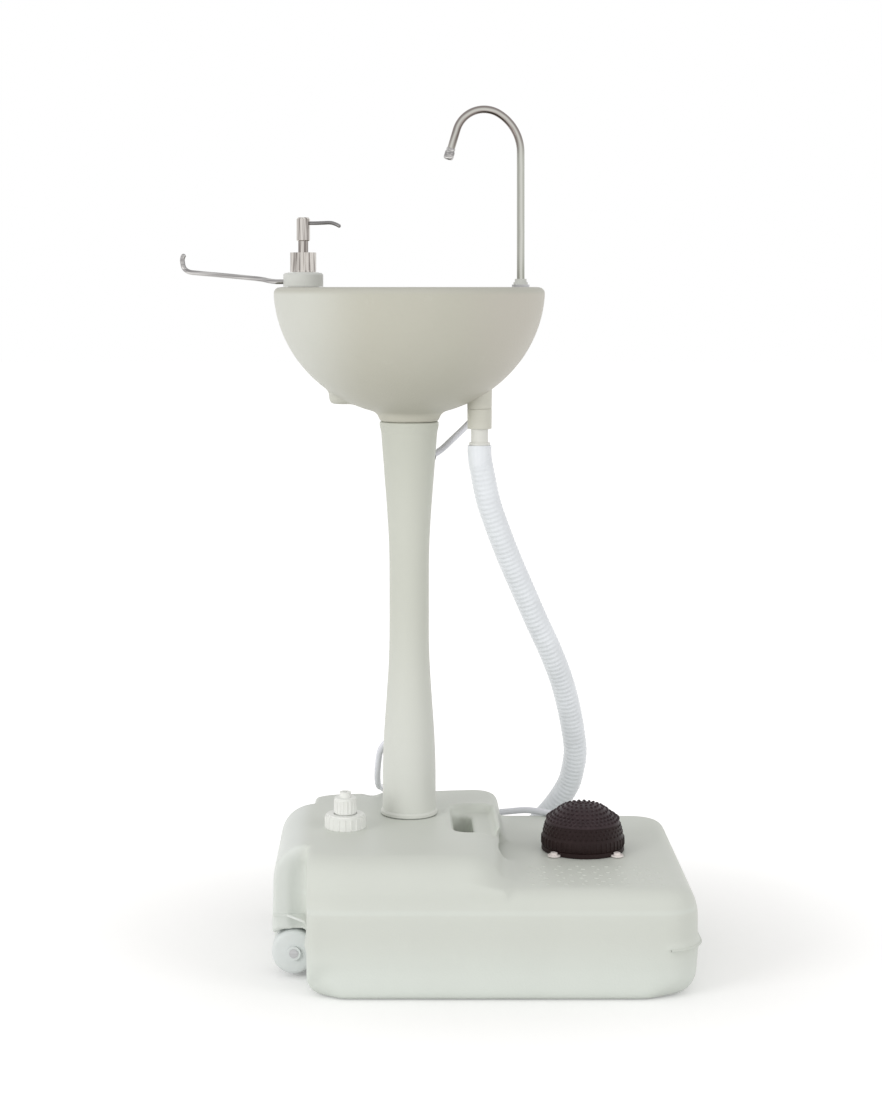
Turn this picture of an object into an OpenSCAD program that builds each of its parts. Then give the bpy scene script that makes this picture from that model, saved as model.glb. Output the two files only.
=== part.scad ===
// Portable wash basin: a floor tank with a foot pump, a waisted column, a double-walled
// basin with a gooseneck faucet, a soap pump, a towel arm and a ribbed drain hose.
// Millimetres, +Z up. The column's axis meets the floor at the origin, the user stands at -Y.

/* [Tank] */
// Column axis to the tank's right end
tank_right = 325; // [295:1:360]
// Column axis to the tank's left end
tank_left = 159; // [150:1:185]
// Column axis to the tank's front face
tank_front = 232; // [220:1:250]
// Column axis to the tank's rear face
tank_back = 133; // [120:1:150]
// Height of the low part under the foot pump
slab_h = 122; // [112:1:130]
// Height of the hump under the column
hump_h = 155; // [150:1:170]
// Blow-moulded wall
tank_wall = 3; // [2:0.5:4]
// Plan radius of the right corners
right_corner_r = 40; // [34:1:60]
// Plan radius of the left corners
left_corner_r = 80; // [65:1:85]
// Radius along the bottom edges
bottom_edge_r = 28; // [15:1:32]
// Radius along the low part's front top edge
front_edge_r = 25; // [10:1:30]
// Radius along the low part's rear top edge
rear_edge_r = 14; // [8:1:25]
// How far the sides swell out at the parting line
side_swell = 1.5; // [0.5:0.5:4]
// Height of the parting line
seam_z = 57; // [57:1:75]
// Width of the moulding flash
seam_fin = 4; // [2:0.5:6]
// Thickness of the moulding flash
seam_t = 2.5; // [1:0.5:4]

/* [Hump and handle] */
// Column axis to the foot of the hump's right slope
hump_right = 119; // [112:1:130]
// How far the right slope leans in at the front
hump_slope = 12; // [8:1:20]
// How far the right slope leans in at the rear
hump_rear_slope = 5; // [2:1:8]
// How far the hump's front is set back from the tank's front
hump_set_back = 2; // [1:1:12]
// How far the foot of the right slope sweeps out over the low part
hump_flare = 18; // [10:1:22]
// Radius of the hump's shoulder and front top edge
shoulder_r = 40; // [25:1:45]
// Radius of the hump's right top edge at the rear
hump_edge_r = 12; // [6:1:20]
// Plan radius of the hump's right front corner
hump_front_corner_r = 46; // [45:1:60]
// Plan radius of the hump's right rear corner
hump_rear_corner_r = 30; // [22:1:45]
// Column axis to the middle of the finger well
grip_x = 64.5; // [60:0.5:68]
// Column axis forward to the middle of the finger well
grip_front = 26; // [20:1:34]
// Width of the finger well
grip_w = 25; // [22:1:28]
// Length of the finger well
grip_len = 108; // [90:1:115]
// Depth of the dish round the handle
grip_dish = 10; // [4:1:12]
// Depth of the finger well
grip_depth = 43; // [38:1:50]
// Length of the slot under the handle
slot_len = 88; // [80:1:96]
// Height of the slot under the handle
slot_h = 12; // [10:1:14]
// Column axis forward to the middle of that slot
slot_front = 56; // [50:1:60]

/* [Wheels] */
// Column axis to the wheel axle
wheel_left = 135; // [130:1:140]
// Wheel radius
wheel_r = 25.4; // [22:0.2:26]
// Wheel width
wheel_w = 26; // [20:1:28]
// Height of the wheels' tread above the floor while the tank stands flat
wheel_lift = 5; // [3:1:8]
// Axle radius
axle_r = 5; // [4:0.5:6]
// Length of the corner notch from the tank's front face
notch_len = 82; // [76:1:88]
// Tank's front face to the inner end of the wheel well
well_front = 114; // [108:1:120]
// Column axis to the side of the front block beside the notch
block_left = 118; // [114:1:122]
// Width of the groove in the notch's inner corner
groove_w = 21; // [18:1:24]
// Length of that groove
groove_len = 21.5; // [18:0.5:25]
// Height of the groove's arched top
groove_top = 139; // [130:1:142]
// Radius along the bottom left edge of the front block
block_foot_r = 22; // [16:1:30]

/* [Filler cap] */
// Column axis to the filler
filler_left = 77; // [70:1:84]
// Column axis forward to the filler
filler_front = 73; // [66:1:80]
// Outer radius of the filler neck
neck_r = 19; // [17:0.5:20]
// Bore radius of the filler neck
neck_bore_r = 15.5; // [13.5:0.5:16]
// Height of the filler neck
neck_h = 12; // [10:1:16]
// Outer radius of the ring nut
ring_r = 24.5; // [23:0.5:26]
// Height of the ring nut
ring_h = 17; // [16:1:20]
// Radius of the vent knob
knob_r = 13.5; // [12:0.5:14]
// Height of the vent knob
knob_h = 19; // [16:1:22]
// Radius of the vent nozzle on the knob
nozzle_r = 6.8; // [5:0.2:8]
// Height of the vent nozzle
nozzle_h = 6.5; // [4:0.5:8]

/* [Column] */
// Height of the joint between the column and the basin's neck
column_top = 635; // [620:1:650]
// Column radius at the top
column_top_r = 36.2; // [33:0.1:36.8]
// Column radius at the waist
waist_r = 24.2; // [22:0.1:26]
// Column radius above the foot
foot_r = 32.5; // [30:0.5:34]
// Radius of the lip round the foot
lip_r = 34.5; // [33:0.5:37]
// Height of that lip
lip_h = 6; // [4:1:10]
// Column wall
column_wall = 3; // [2:0.5:4]
// Radius of the spigot in the tank's socket
tank_spigot_r = 29; // [27:0.5:30]
// Length of that spigot
tank_spigot_len = 34; // [25:1:38]
// Radius of the spigot in the basin's socket
basin_spigot_r = 29.5; // [28:0.5:31]
// Length of that spigot
basin_spigot_len = 22; // [15:1:24]

/* [Basin] */
// Height of the rim above the floor
rim_z = 800; // [790:1:815]
// Radius of the rim
rim_r = 166.5; // [162:0.5:172]
// Depth that the outside would have if it ran on to a point
basin_reach = 158; // [155:1:162]
// Radius of the basin's neck on the column
basin_neck_r = 37.4; // [36:0.2:40]
// Basin wall
basin_wall = 3; // [2:0.5:3.5]
// Radius along the rim's outer edge
rim_edge_r = 7; // [4:1:9]
// Bowl centre to the right of the column axis
bowl_right = 8; // [4:1:12]
// Bowl half width
bowl_half_x = 105; // [98:1:108]
// Bowl half length, front to rear
bowl_half_y = 128; // [118:1:134]
// Depth of the bowl
bowl_depth = 112; // [104:1:115]
// Width of the rounded lip round the bowl
bowl_lip = 6; // [3:1:8]

/* [Drain] */
// Column axis to the drain
drain_right = 86; // [80:1:88]
// Column axis forward to the drain
drain_front = 8; // [4:1:12]
// Radius of the strainer's flange
strainer_r = 25; // [22:0.5:27]
// Radius of the strainer's tube
strainer_tube_r = 12; // [10:0.5:12.5]
// Radius of the tailpiece at the top
tail_top_r = 14.7; // [14:0.1:15.2]
// Radius of the tailpiece at the bottom
tail_end_r = 12.4; // [12:0.1:13]
// Length of the tailpiece
tail_len = 24; // [22:1:28]
// Radius of the hose coupling
coupling_r = 10.5; // [10:0.1:11]
// Length of the coupling between the tailpiece and the hose
coupling_len = 20; // [16:1:24]
// Radius over the ribs of the drain hose
hose_r = 15; // [14.5:0.1:15.3]
// Radius between the ribs
hose_root_r = 12.8; // [12.4:0.1:13.2]
// Bore radius of the drain hose
hose_bore_r = 11.4; // [11:0.1:11.8]

/* [Faucet] */
// Column axis to the faucet
faucet_right = 136.8; // [132:0.1:140]
// Radius of the faucet tube
faucet_r = 4.75; // [4:0.05:5.5]
// Wall of the faucet tube
faucet_wall = 0.9; // [0.6:0.1:1.2]
// Rim to the start of the gooseneck
faucet_rise = 165; // [150:1:180]
// Faucet tube to the middle of the gooseneck
arch_half_w = 45; // [40:1:48]
// Height of the gooseneck
arch_h = 53; // [50:1:60]
// Radius of the gooseneck's crown
arch_crown_r = 35; // [30:1:38]
// Length of the spout's straight end
spout_len = 35; // [28:1:45]
// Lean of that straight end from the vertical, in degrees
spout_lean = 16.5; // [0:0.5:25]
// Radius of the spout tip
tip_r = 6; // [5.6:0.1:7]
// Length of the spout tip
tip_len = 14; // [10:1:18]
// Radius of the shank through the deck
shank_r = 7.8; // [7:0.1:8.5]

/* [Soap pump] */
// Column axis to the soap pump
soap_left = 130; // [126:1:132]
// Radius of the soap neck
soap_neck_r = 19; // [18:0.1:19.5]
// Radius of the towel collar that turns round the neck
towel_collar_r = 24.5; // [23.5:0.1:26]
// Height of the towel collar
towel_collar_h = 17; // [14:1:20]
// Radius of the chrome collar
soap_collar_r = 16; // [15.5:0.1:17]
// Height of the chrome collar
soap_collar_h = 24; // [20:1:28]
// Number of flutes on the chrome collar
soap_flutes = 24; // [16:1:32]
// Radius of the pump stem
stem_r = 6.2; // [5:0.1:6.5]
// Length of stem that shows, which is a little more than the stroke
stem_show = 14; // [13.5:0.5:18]
// Stroke of the soap pump
soap_stroke = 12; // [8:1:12]
// Radius of the pump head
head_r = 8.35; // [7.5:0.1:9]
// Height of the pump head
head_h = 29; // [26:1:32]
// Radius of the soap nozzle
spout_r = 2.3; // [1.8:0.1:3]
// Length of the soap nozzle
spout_reach = 46; // [35:1:55]
// Radius of the towel arm's rod
arm_r = 3; // [2.5:0.1:3.5]
// Column axis to the tip of the towel arm
arm_left = 279; // [260:1:300]

/* [Foot pump] */
// Column axis to the foot pump
pump_right = 209; // [200:1:215]
// Column axis forward to the foot pump
pump_front = 43; // [36:1:50]
// Largest radius of the rubber bellows
bellows_r = 50; // [48:0.5:51]
// Wall of the rubber
rubber_t = 3; // [2:0.5:4]
// Height of the pump over the low part of the tank
pump_h = 55; // [50:1:60]
// Height of the tread's lower edge over the tank
tread_edge_h = 34; // [32:1:36]
// Radius of the tread's lower edge
tread_r = 46; // [44:0.5:47]
// Radius of the tread's crown
crown_r = 31.5; // [29:0.5:34]
// Height of the crown's edge over the tank
crown_edge_h = 46; // [44:1:48]
// Radius of the pump base's flange
base_r = 47; // [46:0.5:48]
// Pump axis to each screw
screw_pitch_r = 53; // [52.5:0.5:54]
// Radius of the pump cup in the tank
cup_r = 37.5; // [36:0.5:38]
// Depth of the pump cup in the tank
cup_depth = 38; // [30:1:45]
// Stroke of the foot pump
pump_stroke = 20; // [14:1:20]

/* [Supply tube] */
// Radius of the supply tube
tube_r = 4; // [3.4:0.1:4.2]

/* [Hidden] */
$fn = 64;
hull_fn = 32;
// Overlap that keeps cuts clear of the faces they cut
cut = 1;
// Gap round a shaft that turns
turn_gap = 0.05;
// Gap between parts that fit together and stay still
fit_gap = 0.2;
// Gap between parts that move past or rest near each other
rest_gap = 0.3;

hdpe = [0.80, 0.82, 0.78];
white_plastic = [0.90, 0.91, 0.89];
chrome = [0.82, 0.82, 0.84];
steel = [0.70, 0.71, 0.73];
black_rubber = [0.09, 0.06, 0.055];
soft_rubber = [0.25, 0.25, 0.26];
clear_plastic = [0.86, 0.90, 0.95, 0.6];

tank_mid_y = (tank_back - tank_front) / 2;
margin = 20;
foot_bar_r = 10;

function mix(a, b, t) = a + (b - a) * t;
function ease(t) = let (u = min(max(t, 0), 1)) u * u * (3 - 2 * u);
function unit(v) = v / norm(v);

// Smooth curves for tubes, swept as rings along a route that is given by a few points

// One point of a smooth curve between p1 and p2
function curve_point(p0, p1, p2, p3, t) =
    0.5 * (2 * p1 + (p2 - p0) * t + (2 * p0 - 5 * p1 + 4 * p2 - p3) * t * t
    + (3 * p1 - p0 - 3 * p2 + p3) * t * t * t);
function route_point(pts, i, t) = let (last = len(pts) - 1)
    curve_point(pts[max(i - 1, 0)], pts[i], pts[min(i + 1, last)], pts[min(i + 2, last)], t);
// The smooth route as many points, steps of them to each stretch
function smooth_route(pts, steps) =
    [for (i = [0:len(pts) - 2]) for (k = [0:steps - 1]) route_point(pts, i, k / steps),
     pts[len(pts) - 1]];
// Length of the route up to each point
function lengths(pts) =
    [for (i = 0, s = 0; i < len(pts); s = s + (i + 1 < len(pts) ? norm(pts[i + 1] - pts[i]) : 0),
     i = i + 1) s];
function total_length(pts) = let (s = lengths(pts)) s[len(s) - 1];
// Points at even steps of length along the route
function even_route(pts, count) = let (s = lengths(pts), total = s[len(s) - 1])
    [for (k = [0:count]) let (d = total * k / count) [lookup(d, [for (i = [0:len(s) - 1]) [s[i], pts[i].x]]),
     lookup(d, [for (i = [0:len(s) - 1]) [s[i], pts[i].y]]),
     lookup(d, [for (i = [0:len(s) - 1]) [s[i], pts[i].z]])]];
function headings(pts) = let (last = len(pts) - 1)
    [for (i = [0:last]) unit(pts[min(i + 1, last)] - pts[max(i - 1, 0)])];
// A direction across the route at each point, carried along without twist
function across(dirs, start) =
    [for (i = 0, n = start; i < len(dirs); i = i + 1,
     n = i < len(dirs) ? unit(n - dirs[i] * (n * dirs[i])) : n) unit(n - dirs[i] * (n * dirs[i]))];
function ring_of(centre, dir, side, r, sides) = let (other = cross(dir, side))
    [for (j = [0:sides - 1]) let (a = 360 * j / sides) centre + r * (cos(a) * side + sin(a) * other)];
// Triangles between ring a and ring b of a tube
function band(a, b, sides) =
    [for (j = [0:sides - 1]) let (k = (j + 1) % sides) each
     [[a * sides + j, a * sides + k, b * sides + j], [a * sides + k, b * sides + k, b * sides + j]]];
function cap(a, sides, back) =
    [for (j = [1:sides - 2]) back ? [a * sides, a * sides + j + 1, a * sides + j]
     : [a * sides, a * sides + j, a * sides + j + 1]];

// A solid tube along the points
module swept_tube(pts, r, sides, start) {
    dirs = headings(pts);
    sides_dir = across(dirs, start);
    rings = [for (i = [0:len(pts) - 1]) each ring_of(pts[i], dirs[i], sides_dir[i], r, sides)];
    count = len(pts);
    faces = [each cap(0, sides, false),
        for (i = [0:count - 2]) each band(i + 1, i, sides),
        each cap(count - 1, sides, true)];
    polyhedron(points = rings, faces = faces);
}

// A tube with a bore, whose outer radius at each point is in the list radii
module ribbed_tube(pts, radii, bore_pts, bore_r, sides, start) {
    dirs = headings(pts);
    side_dir = across(dirs, start);
    bore_dirs = headings(bore_pts);
    bore_side = across(bore_dirs, start);
    outer = [for (i = [0:len(pts) - 1]) each ring_of(pts[i], dirs[i], side_dir[i], radii[i], sides)];
    inner = [for (i = [0:len(bore_pts) - 1])
        each ring_of(bore_pts[i], bore_dirs[i], bore_side[i], bore_r, sides)];
    m = len(pts);
    n = len(bore_pts);
    faces = [for (i = [0:m - 2]) each band(i + 1, i, sides),
        for (i = [0:n - 2]) each band(m + i, m + i + 1, sides),
        each band(0, m, sides),
        each band(m + n - 1, m - 1, sides)];
    polyhedron(points = concat(outer, inner), faces = faces);
}

// Tank

module edge_ring(x, y, plan_r, z, edge_r) {
    translate([x, y, z])
        rotate_extrude($fn = hull_fn)
            intersection() {
                translate([plan_r - edge_r, 0])
                    circle(r = edge_r, $fn = hull_fn);
                translate([0, -edge_r])
                    square([plan_r, 2 * edge_r]);
            }
}

module low_part(inset) {
    left = -tank_left + left_corner_r;
    right = tank_right - right_corner_r;
    hull() {
        for (side = [-1, 1]) {
            edge = side < 0 ? front_edge_r : rear_edge_r;
            wall_y = side < 0 ? -tank_front : tank_back;
            left_y = wall_y - side * left_corner_r;
            right_y = wall_y - side * right_corner_r;
            edge_ring(left, left_y, left_corner_r - inset, bottom_edge_r, bottom_edge_r - inset);
            edge_ring(right, right_y, right_corner_r - inset, bottom_edge_r, bottom_edge_r - inset);
            edge_ring(left, left_y, left_corner_r - inset, slab_h - edge, edge - inset);
            edge_ring(right, right_y, right_corner_r - inset, slab_h - edge, edge - inset);
            translate([left, left_y, seam_z])
                cylinder(r = left_corner_r + side_swell - inset, h = seam_t, $fn = hull_fn);
            translate([right, right_y, seam_z])
                cylinder(r = right_corner_r + side_swell - inset, h = seam_t, $fn = hull_fn);
            translate([left, wall_y - side * foot_bar_r, foot_bar_r])
                rotate([0, 90, 0])
                    cylinder(r = foot_bar_r - inset, h = right - left - margin, $fn = hull_fn);
        }
    }
}

module hump(inset) {
    left = -tank_left + left_corner_r;
    front_y = -tank_front + hump_set_back;
    foot_z = slab_h - front_edge_r;
    hull() {
        edge_ring(left, front_y + left_corner_r, left_corner_r - inset, hump_h - shoulder_r,
            shoulder_r - inset);
        edge_ring(left, tank_back - left_corner_r, left_corner_r - inset, hump_h - shoulder_r,
            shoulder_r - inset);
        edge_ring(hump_right - hump_slope - hump_front_corner_r, front_y + hump_front_corner_r,
            hump_front_corner_r - inset, hump_h - shoulder_r, shoulder_r - inset);
        edge_ring(hump_right - hump_rear_slope - hump_rear_corner_r, tank_back - hump_rear_corner_r,
            hump_rear_corner_r - inset, hump_h - hump_edge_r, hump_edge_r - inset);
        translate([left, front_y + left_corner_r, foot_z])
            cylinder(r = left_corner_r - inset, h = cut, $fn = hull_fn);
        translate([left, tank_back - left_corner_r, foot_z])
            cylinder(r = left_corner_r - inset, h = cut, $fn = hull_fn);
        translate([hump_right - hump_front_corner_r, front_y + hump_front_corner_r, foot_z])
            cylinder(r = hump_front_corner_r - inset, h = cut, $fn = hull_fn);
        translate([hump_right - hump_rear_corner_r, tank_back - hump_rear_corner_r, foot_z])
            cylinder(r = hump_rear_corner_r - inset, h = cut, $fn = hull_fn);
    }
}

// Outline of the right slope's foot, drawn in by inset from every face
function flare_outline(inset) = [[-hump_slope, -margin / 2], [hump_flare - inset, -margin / 2],
    for (k = [0:5]) let (s = k / 5)
        [(hump_flare + 8) * (1 - s) * (1 - s) - 8 - inset, 16 * s - inset],
    [-hump_slope, 16 - inset]];

// Foot of the right slope: straight along the side, round at both corners
module flare(inset) {
    top_x = hump_right - hump_slope;
    front_y = -tank_front + hump_set_back;
    near = front_y + hump_front_corner_r;
    far = tank_back - hump_rear_corner_r;
    rear_x = hump_right - hump_rear_slope - hump_rear_corner_r;
    translate([top_x, far, slab_h])
        rotate([90, 0, 0])
            linear_extrude(far - near)
                polygon(flare_outline(inset));
    intersection() {
        translate([top_x - hump_front_corner_r, near, slab_h])
            rotate_extrude()
                translate([hump_front_corner_r, 0])
                    polygon(flare_outline(inset));
        translate([top_x - hump_front_corner_r, front_y + 0.5 + inset, slab_h - margin])
            cube([hump_front_corner_r + 2 * margin, near - front_y - 0.5 - inset, 3 * margin]);
    }
    intersection() {
        translate([rear_x, far, slab_h])
            rotate_extrude()
                translate([top_x - rear_x, 0])
                    polygon(flare_outline(inset));
        translate([rear_x, far, slab_h - margin])
            cube([hump_rear_corner_r + 2 * margin, tank_back - far - 0.5 - inset, 3 * margin]);
    }
}

// Draws its children at the front and, mirrored, at the rear of the tank
module both_ends() {
    children();
    translate([0, 2 * tank_mid_y, 0])
        mirror([0, 1, 0])
            children();
}

notch_y = -tank_front + notch_len;
well_y = -tank_front + well_front;
wheel_z = wheel_lift + wheel_r;
wheel_gap = 8;
wheel_inner_y = well_y - wheel_gap;
well_r = wheel_r + 4.5;
well_end_gap = 6;

// Plan of the front corner notch, grown all round by grow
module notch_plan(grow) {
    far = tank_left + margin;
    translate([-far, -tank_front - margin])
        square([far - block_left + grow, notch_len + margin + grow]);
}

// Groove that runs up the notch's inner corner to a round top
module groove(grow) {
    r = groove_w / 2 + grow;
    end_y = notch_y + groove_len - groove_w / 2;
    arch_z = groove_top - groove_w / 2;
    translate([-block_left - groove_w / 2, end_y, 0]) {
        translate([0, 0, -margin])
            cylinder(r = r, h = arch_z + margin);
        translate([0, 0, arch_z])
            sphere(r = r);
        translate([-r, -groove_len, -margin])
            cube([2 * r, groove_len, arch_z + margin]);
        translate([0, 0, arch_z])
            rotate([90, 0, 0])
                cylinder(r = r, h = groove_len);
    }
}

// Everything that the wheels take out of the tank's left end
module wheel_spaces(grow) {
    both_ends() {
        translate([0, 0, -margin])
            linear_extrude(hump_h + 2 * margin)
                notch_plan(grow);
        groove(grow);
        translate([-wheel_left, well_y + grow, wheel_z])
            rotate([90, 0, 0])
                cylinder(r = well_r + grow, h = wheel_gap + wheel_w + well_end_gap + 2 * grow);
        difference() {
            translate([-block_left - margin, -tank_front - margin, -margin])
                cube([margin + block_foot_r, margin + notch_len, margin + block_foot_r]);
            translate([-block_left + block_foot_r, -tank_front - 2 * margin, block_foot_r])
                rotate([-90, 0, 0])
                    cylinder(r = block_foot_r - grow, h = notch_len + 3 * margin);
        }
    }
}

grip_floor = hump_h - grip_depth;
dish_ball_r = 20;
dish_fn = 24;

// The finger well, the dish round it and the slot under the handle bar
module grip_space(grow) {
    well_r2 = grip_w / 2 + grow;
    run = grip_len / 2 - grip_w / 2;
    for (side = [-1, 1])
        translate([grip_x, -grip_front + side * run, grip_floor - grow])
            cylinder(r = well_r2, h = grip_depth + margin);
    translate([grip_x - well_r2, -grip_front - run, grip_floor - grow])
        cube([2 * well_r2, 2 * run, grip_depth + margin]);
    slot_r = slot_h / 2 + grow;
    slot_run = slot_len / 2 - slot_h / 2;
    slot_reach = hump_right - grip_x + margin;
    for (side = [-1, 1])
        translate([grip_x, -slot_front + side * slot_run, slab_h + slot_h / 2])
            rotate([0, 90, 0])
                cylinder(r = slot_r, h = slot_reach);
    translate([grip_x, -slot_front - slot_run, slab_h + slot_h / 2 - slot_r])
        cube([slot_reach, 2 * slot_run, 2 * slot_r]);
    hull()
        for (x = [grip_x + 4, hump_right - hump_slope]) for (side = [-1, 1])
            translate([x, -grip_front + side * (run + 6), hump_h - grip_dish + dish_ball_r])
                sphere(r = dish_ball_r + grow, $fn = dish_fn);
}

// Plan of the tank at the parting line, grown by grow
module tank_plan(grow) {
    left = -tank_left + left_corner_r;
    right = tank_right - right_corner_r;
    translate([left, -tank_front - grow])
        square([right - left, tank_front + tank_back + 2 * grow]);
    translate([-tank_left - grow, -tank_front + left_corner_r])
        square([left_corner_r + grow, tank_front + tank_back - 2 * left_corner_r]);
    translate([right, -tank_front + right_corner_r])
        square([right_corner_r + grow, tank_front + tank_back - 2 * right_corner_r]);
    for (y = [-tank_front + left_corner_r, tank_back - left_corner_r])
        translate([left, y])
            circle(r = left_corner_r + grow);
    for (y = [-tank_front + right_corner_r, tank_back - right_corner_r])
        translate([right, y])
            circle(r = right_corner_r + grow);
}

// Moulding flash round the right end and across the notches
module seam_fins() {
    fin_wrap = 34;
    translate([0, 0, seam_z])
        linear_extrude(seam_t) {
            intersection() {
                tank_plan(side_swell + seam_fin);
                translate([tank_right - fin_wrap, -tank_front - margin])
                    square([fin_wrap + margin, tank_front + tank_back + 2 * margin]);
            }
            difference() {
                intersection() {
                    tank_plan(0);
                    translate([-tank_left + 2, -tank_front])
                        square([tank_left - block_left + 2 * margin, tank_front + tank_back]);
                }
                both_ends_plan()
                    notch_plan(-seam_fin);
            }
        }
}

module both_ends_plan() {
    children();
    translate([0, 2 * tank_mid_y])
        mirror([0, 1])
            children();
}

socket_r = tank_spigot_r + fit_gap;
socket_floor = hump_h - tank_spigot_len - rest_gap;
pump_hole_r = cup_r + 0.5;
screw_r = 2;
screw_len = 14;
tube_notch_left = 46;
tube_notch_r = 10;
tube_notch_len = 45;
boss_r = 5;

module at_pump_screws() {
    for (a = [45:90:315])
        translate([pump_right + screw_pitch_r * cos(a), -pump_front + screw_pitch_r * sin(a), 0])
            children();
}

// The water space, with its walls round each socket and boss
module water_space() {
    difference() {
        union() {
            low_part(tank_wall);
            hump(tank_wall);
            flare(tank_wall);
        }
        wheel_spaces(tank_wall);
        grip_space(tank_wall);
        translate([0, 0, socket_floor - tank_wall])
            cylinder(r = socket_r + tank_wall, h = hump_h);
        translate([-wheel_left, tank_back + margin, wheel_z])
            rotate([90, 0, 0])
                cylinder(r = axle_r + tank_wall + cut, h = tank_front + tank_back + 2 * margin);
        at_pump_screws()
            translate([0, 0, slab_h - screw_len - tank_wall])
                cylinder(r = boss_r, h = screw_len + tank_wall);
        tube_notch(tank_wall);
    }
}

// Groove over the hump's rear edge beside the supply tube
module tube_notch(grow) {
    translate([-tube_notch_left, tank_back + margin, hump_h + 3.5])
        rotate([90, 0, 0])
            cylinder(r = tube_notch_r + grow, h = margin + tube_notch_len + grow);
}

module tank_body() {
    color(hdpe)
        difference() {
            union() {
                difference() {
                    union() {
                        low_part(0);
                        hump(0);
                        flare(0);
                    }
                    wheel_spaces(0);
                }
                seam_fins();
                translate([-filler_left, -filler_front, hump_h - tank_wall])
                    cylinder(r = neck_r, h = neck_h + tank_wall);
            }
            water_space();
            grip_space(0);
            tube_notch(0);
            translate([-filler_left, -filler_front, hump_h - tank_wall - cut])
                cylinder(r = neck_bore_r, h = neck_h + tank_wall + 2 * cut);
            translate([0, 0, socket_floor])
                cylinder(r = socket_r, h = hump_h);
            translate([pump_right, -pump_front, slab_h - tank_wall - cut])
                cylinder(r = pump_hole_r, h = tank_wall + 2 * cut);
            at_pump_screws()
                translate([0, 0, slab_h - screw_len])
                    cylinder(r = screw_r + turn_gap, h = screw_len + cut);
            translate([-wheel_left, tank_back + margin, wheel_z])
                rotate([90, 0, 0])
                    cylinder(r = axle_r + fit_gap, h = tank_front + tank_back + 2 * margin);
        }
}

// Filler cap

gasket_t = 2;
gasket_z = hump_h + neck_h;
flange_t = 2;
plug_flange_z = gasket_z + gasket_t;
plug_flange_r = neck_r - 0.5;
ring_z = hump_h + rest_gap;
ring_top = ring_z + ring_h;
knob_z = ring_top + rest_gap;
vent_r = 2.5;
stub_r = 9;

module at_filler(z) {
    translate([-filler_left, -filler_front, z])
        children();
}

module filler_gasket() {
    color(soft_rubber)
        at_filler(gasket_z)
            difference() {
                cylinder(r = neck_r - 0.5, h = gasket_t);
                translate([0, 0, -cut])
                    cylinder(r = neck_bore_r, h = gasket_t + 2 * cut);
            }
}

module filler_plug() {
    skirt_h = 8;
    color(white_plastic)
        difference() {
            union() {
                at_filler(plug_flange_z)
                    cylinder(r = plug_flange_r, h = flange_t);
                at_filler(plug_flange_z - skirt_h)
                    cylinder(r = neck_bore_r - rest_gap, h = skirt_h);
                at_filler(plug_flange_z)
                    cylinder(r = stub_r, h = ring_top - plug_flange_z + knob_h - 5);
            }
            at_filler(plug_flange_z - skirt_h - cut)
                cylinder(r = vent_r, h = skirt_h + ring_h + knob_h);
        }
}

module filler_ring() {
    ribs = 20;
    rib_r = 1.4;
    color(white_plastic)
        difference() {
            at_filler(ring_z) {
                cylinder(r = ring_r - 1, h = ring_h - 1.5);
                cylinder(r1 = ring_r - 1, r2 = ring_r - 2.5, h = ring_h);
                for (i = [0:ribs - 1])
                    rotate(360 * i / ribs)
                        translate([ring_r - rib_r, 0, 1])
                            cylinder(r = rib_r, h = ring_h - 4, $fn = 16);
            }
            at_filler(ring_z - cut)
                cylinder(r = neck_r + rest_gap, h = plug_flange_z + flange_t + rest_gap - ring_z + cut);
            at_filler(ring_z)
                cylinder(r = stub_r + 5, h = ring_h + cut);
        }
}

module vent_knob() {
    ribs = 18;
    color(white_plastic)
        difference() {
            at_filler(knob_z) {
                cylinder(r = knob_r - 0.8, h = knob_h);
                for (i = [0:ribs - 1])
                    rotate(360 * i / ribs)
                        translate([knob_r - 1.2, 0, 1])
                            cylinder(r = 1.2, h = knob_h - 4, $fn = 16);
                cylinder(r = nozzle_r, h = knob_h + nozzle_h);
            }
            at_filler(knob_z - cut)
                cylinder(r = stub_r + turn_gap, h = knob_h - 3 + cut);
            at_filler(knob_z)
                cylinder(r = vent_r, h = knob_h + nozzle_h + cut);
        }
}

// Wheels

hub_r = 11;
tyre_t = 5;
web_t = 5;

// A wheel with its outer face at y = 0 and its hub towards +Y
module wheel() {
    rotate([-90, 0, 0])
        rotate_extrude()
            polygon([[axle_r + turn_gap, -1], [hub_r, -1], [hub_r, wheel_w / 2 - web_t / 2],
                [wheel_r - tyre_t, wheel_w / 2 - web_t / 2], [wheel_r - tyre_t, 0], [wheel_r - 2, 0],
                [wheel_r, 2], [wheel_r, wheel_w - 2], [wheel_r - 2, wheel_w],
                [wheel_r - tyre_t, wheel_w], [wheel_r - tyre_t, wheel_w / 2 + web_t / 2],
                [hub_r, wheel_w / 2 + web_t / 2], [hub_r, wheel_w + wheel_gap - rest_gap],
                [axle_r + turn_gap, wheel_w + wheel_gap - rest_gap]]);
}

module front_wheel() {
    translate([-wheel_left, wheel_inner_y - wheel_w, wheel_z])
        wheel();
}

module wheel_front() {
    color(white_plastic)
        front_wheel();
}

module wheel_rear() {
    color(white_plastic)
        translate([0, 2 * tank_mid_y, 0])
            mirror([0, 1, 0])
                front_wheel();
}

axle_end_y = wheel_inner_y - wheel_w - well_end_gap + 1;
cap_t = 3;

module wheel_axle() {
    color(steel)
        translate([-wheel_left, axle_end_y, wheel_z])
            rotate([-90, 0, 0])
                cylinder(r = axle_r, h = 2 * (tank_mid_y - axle_end_y));
}

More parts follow.
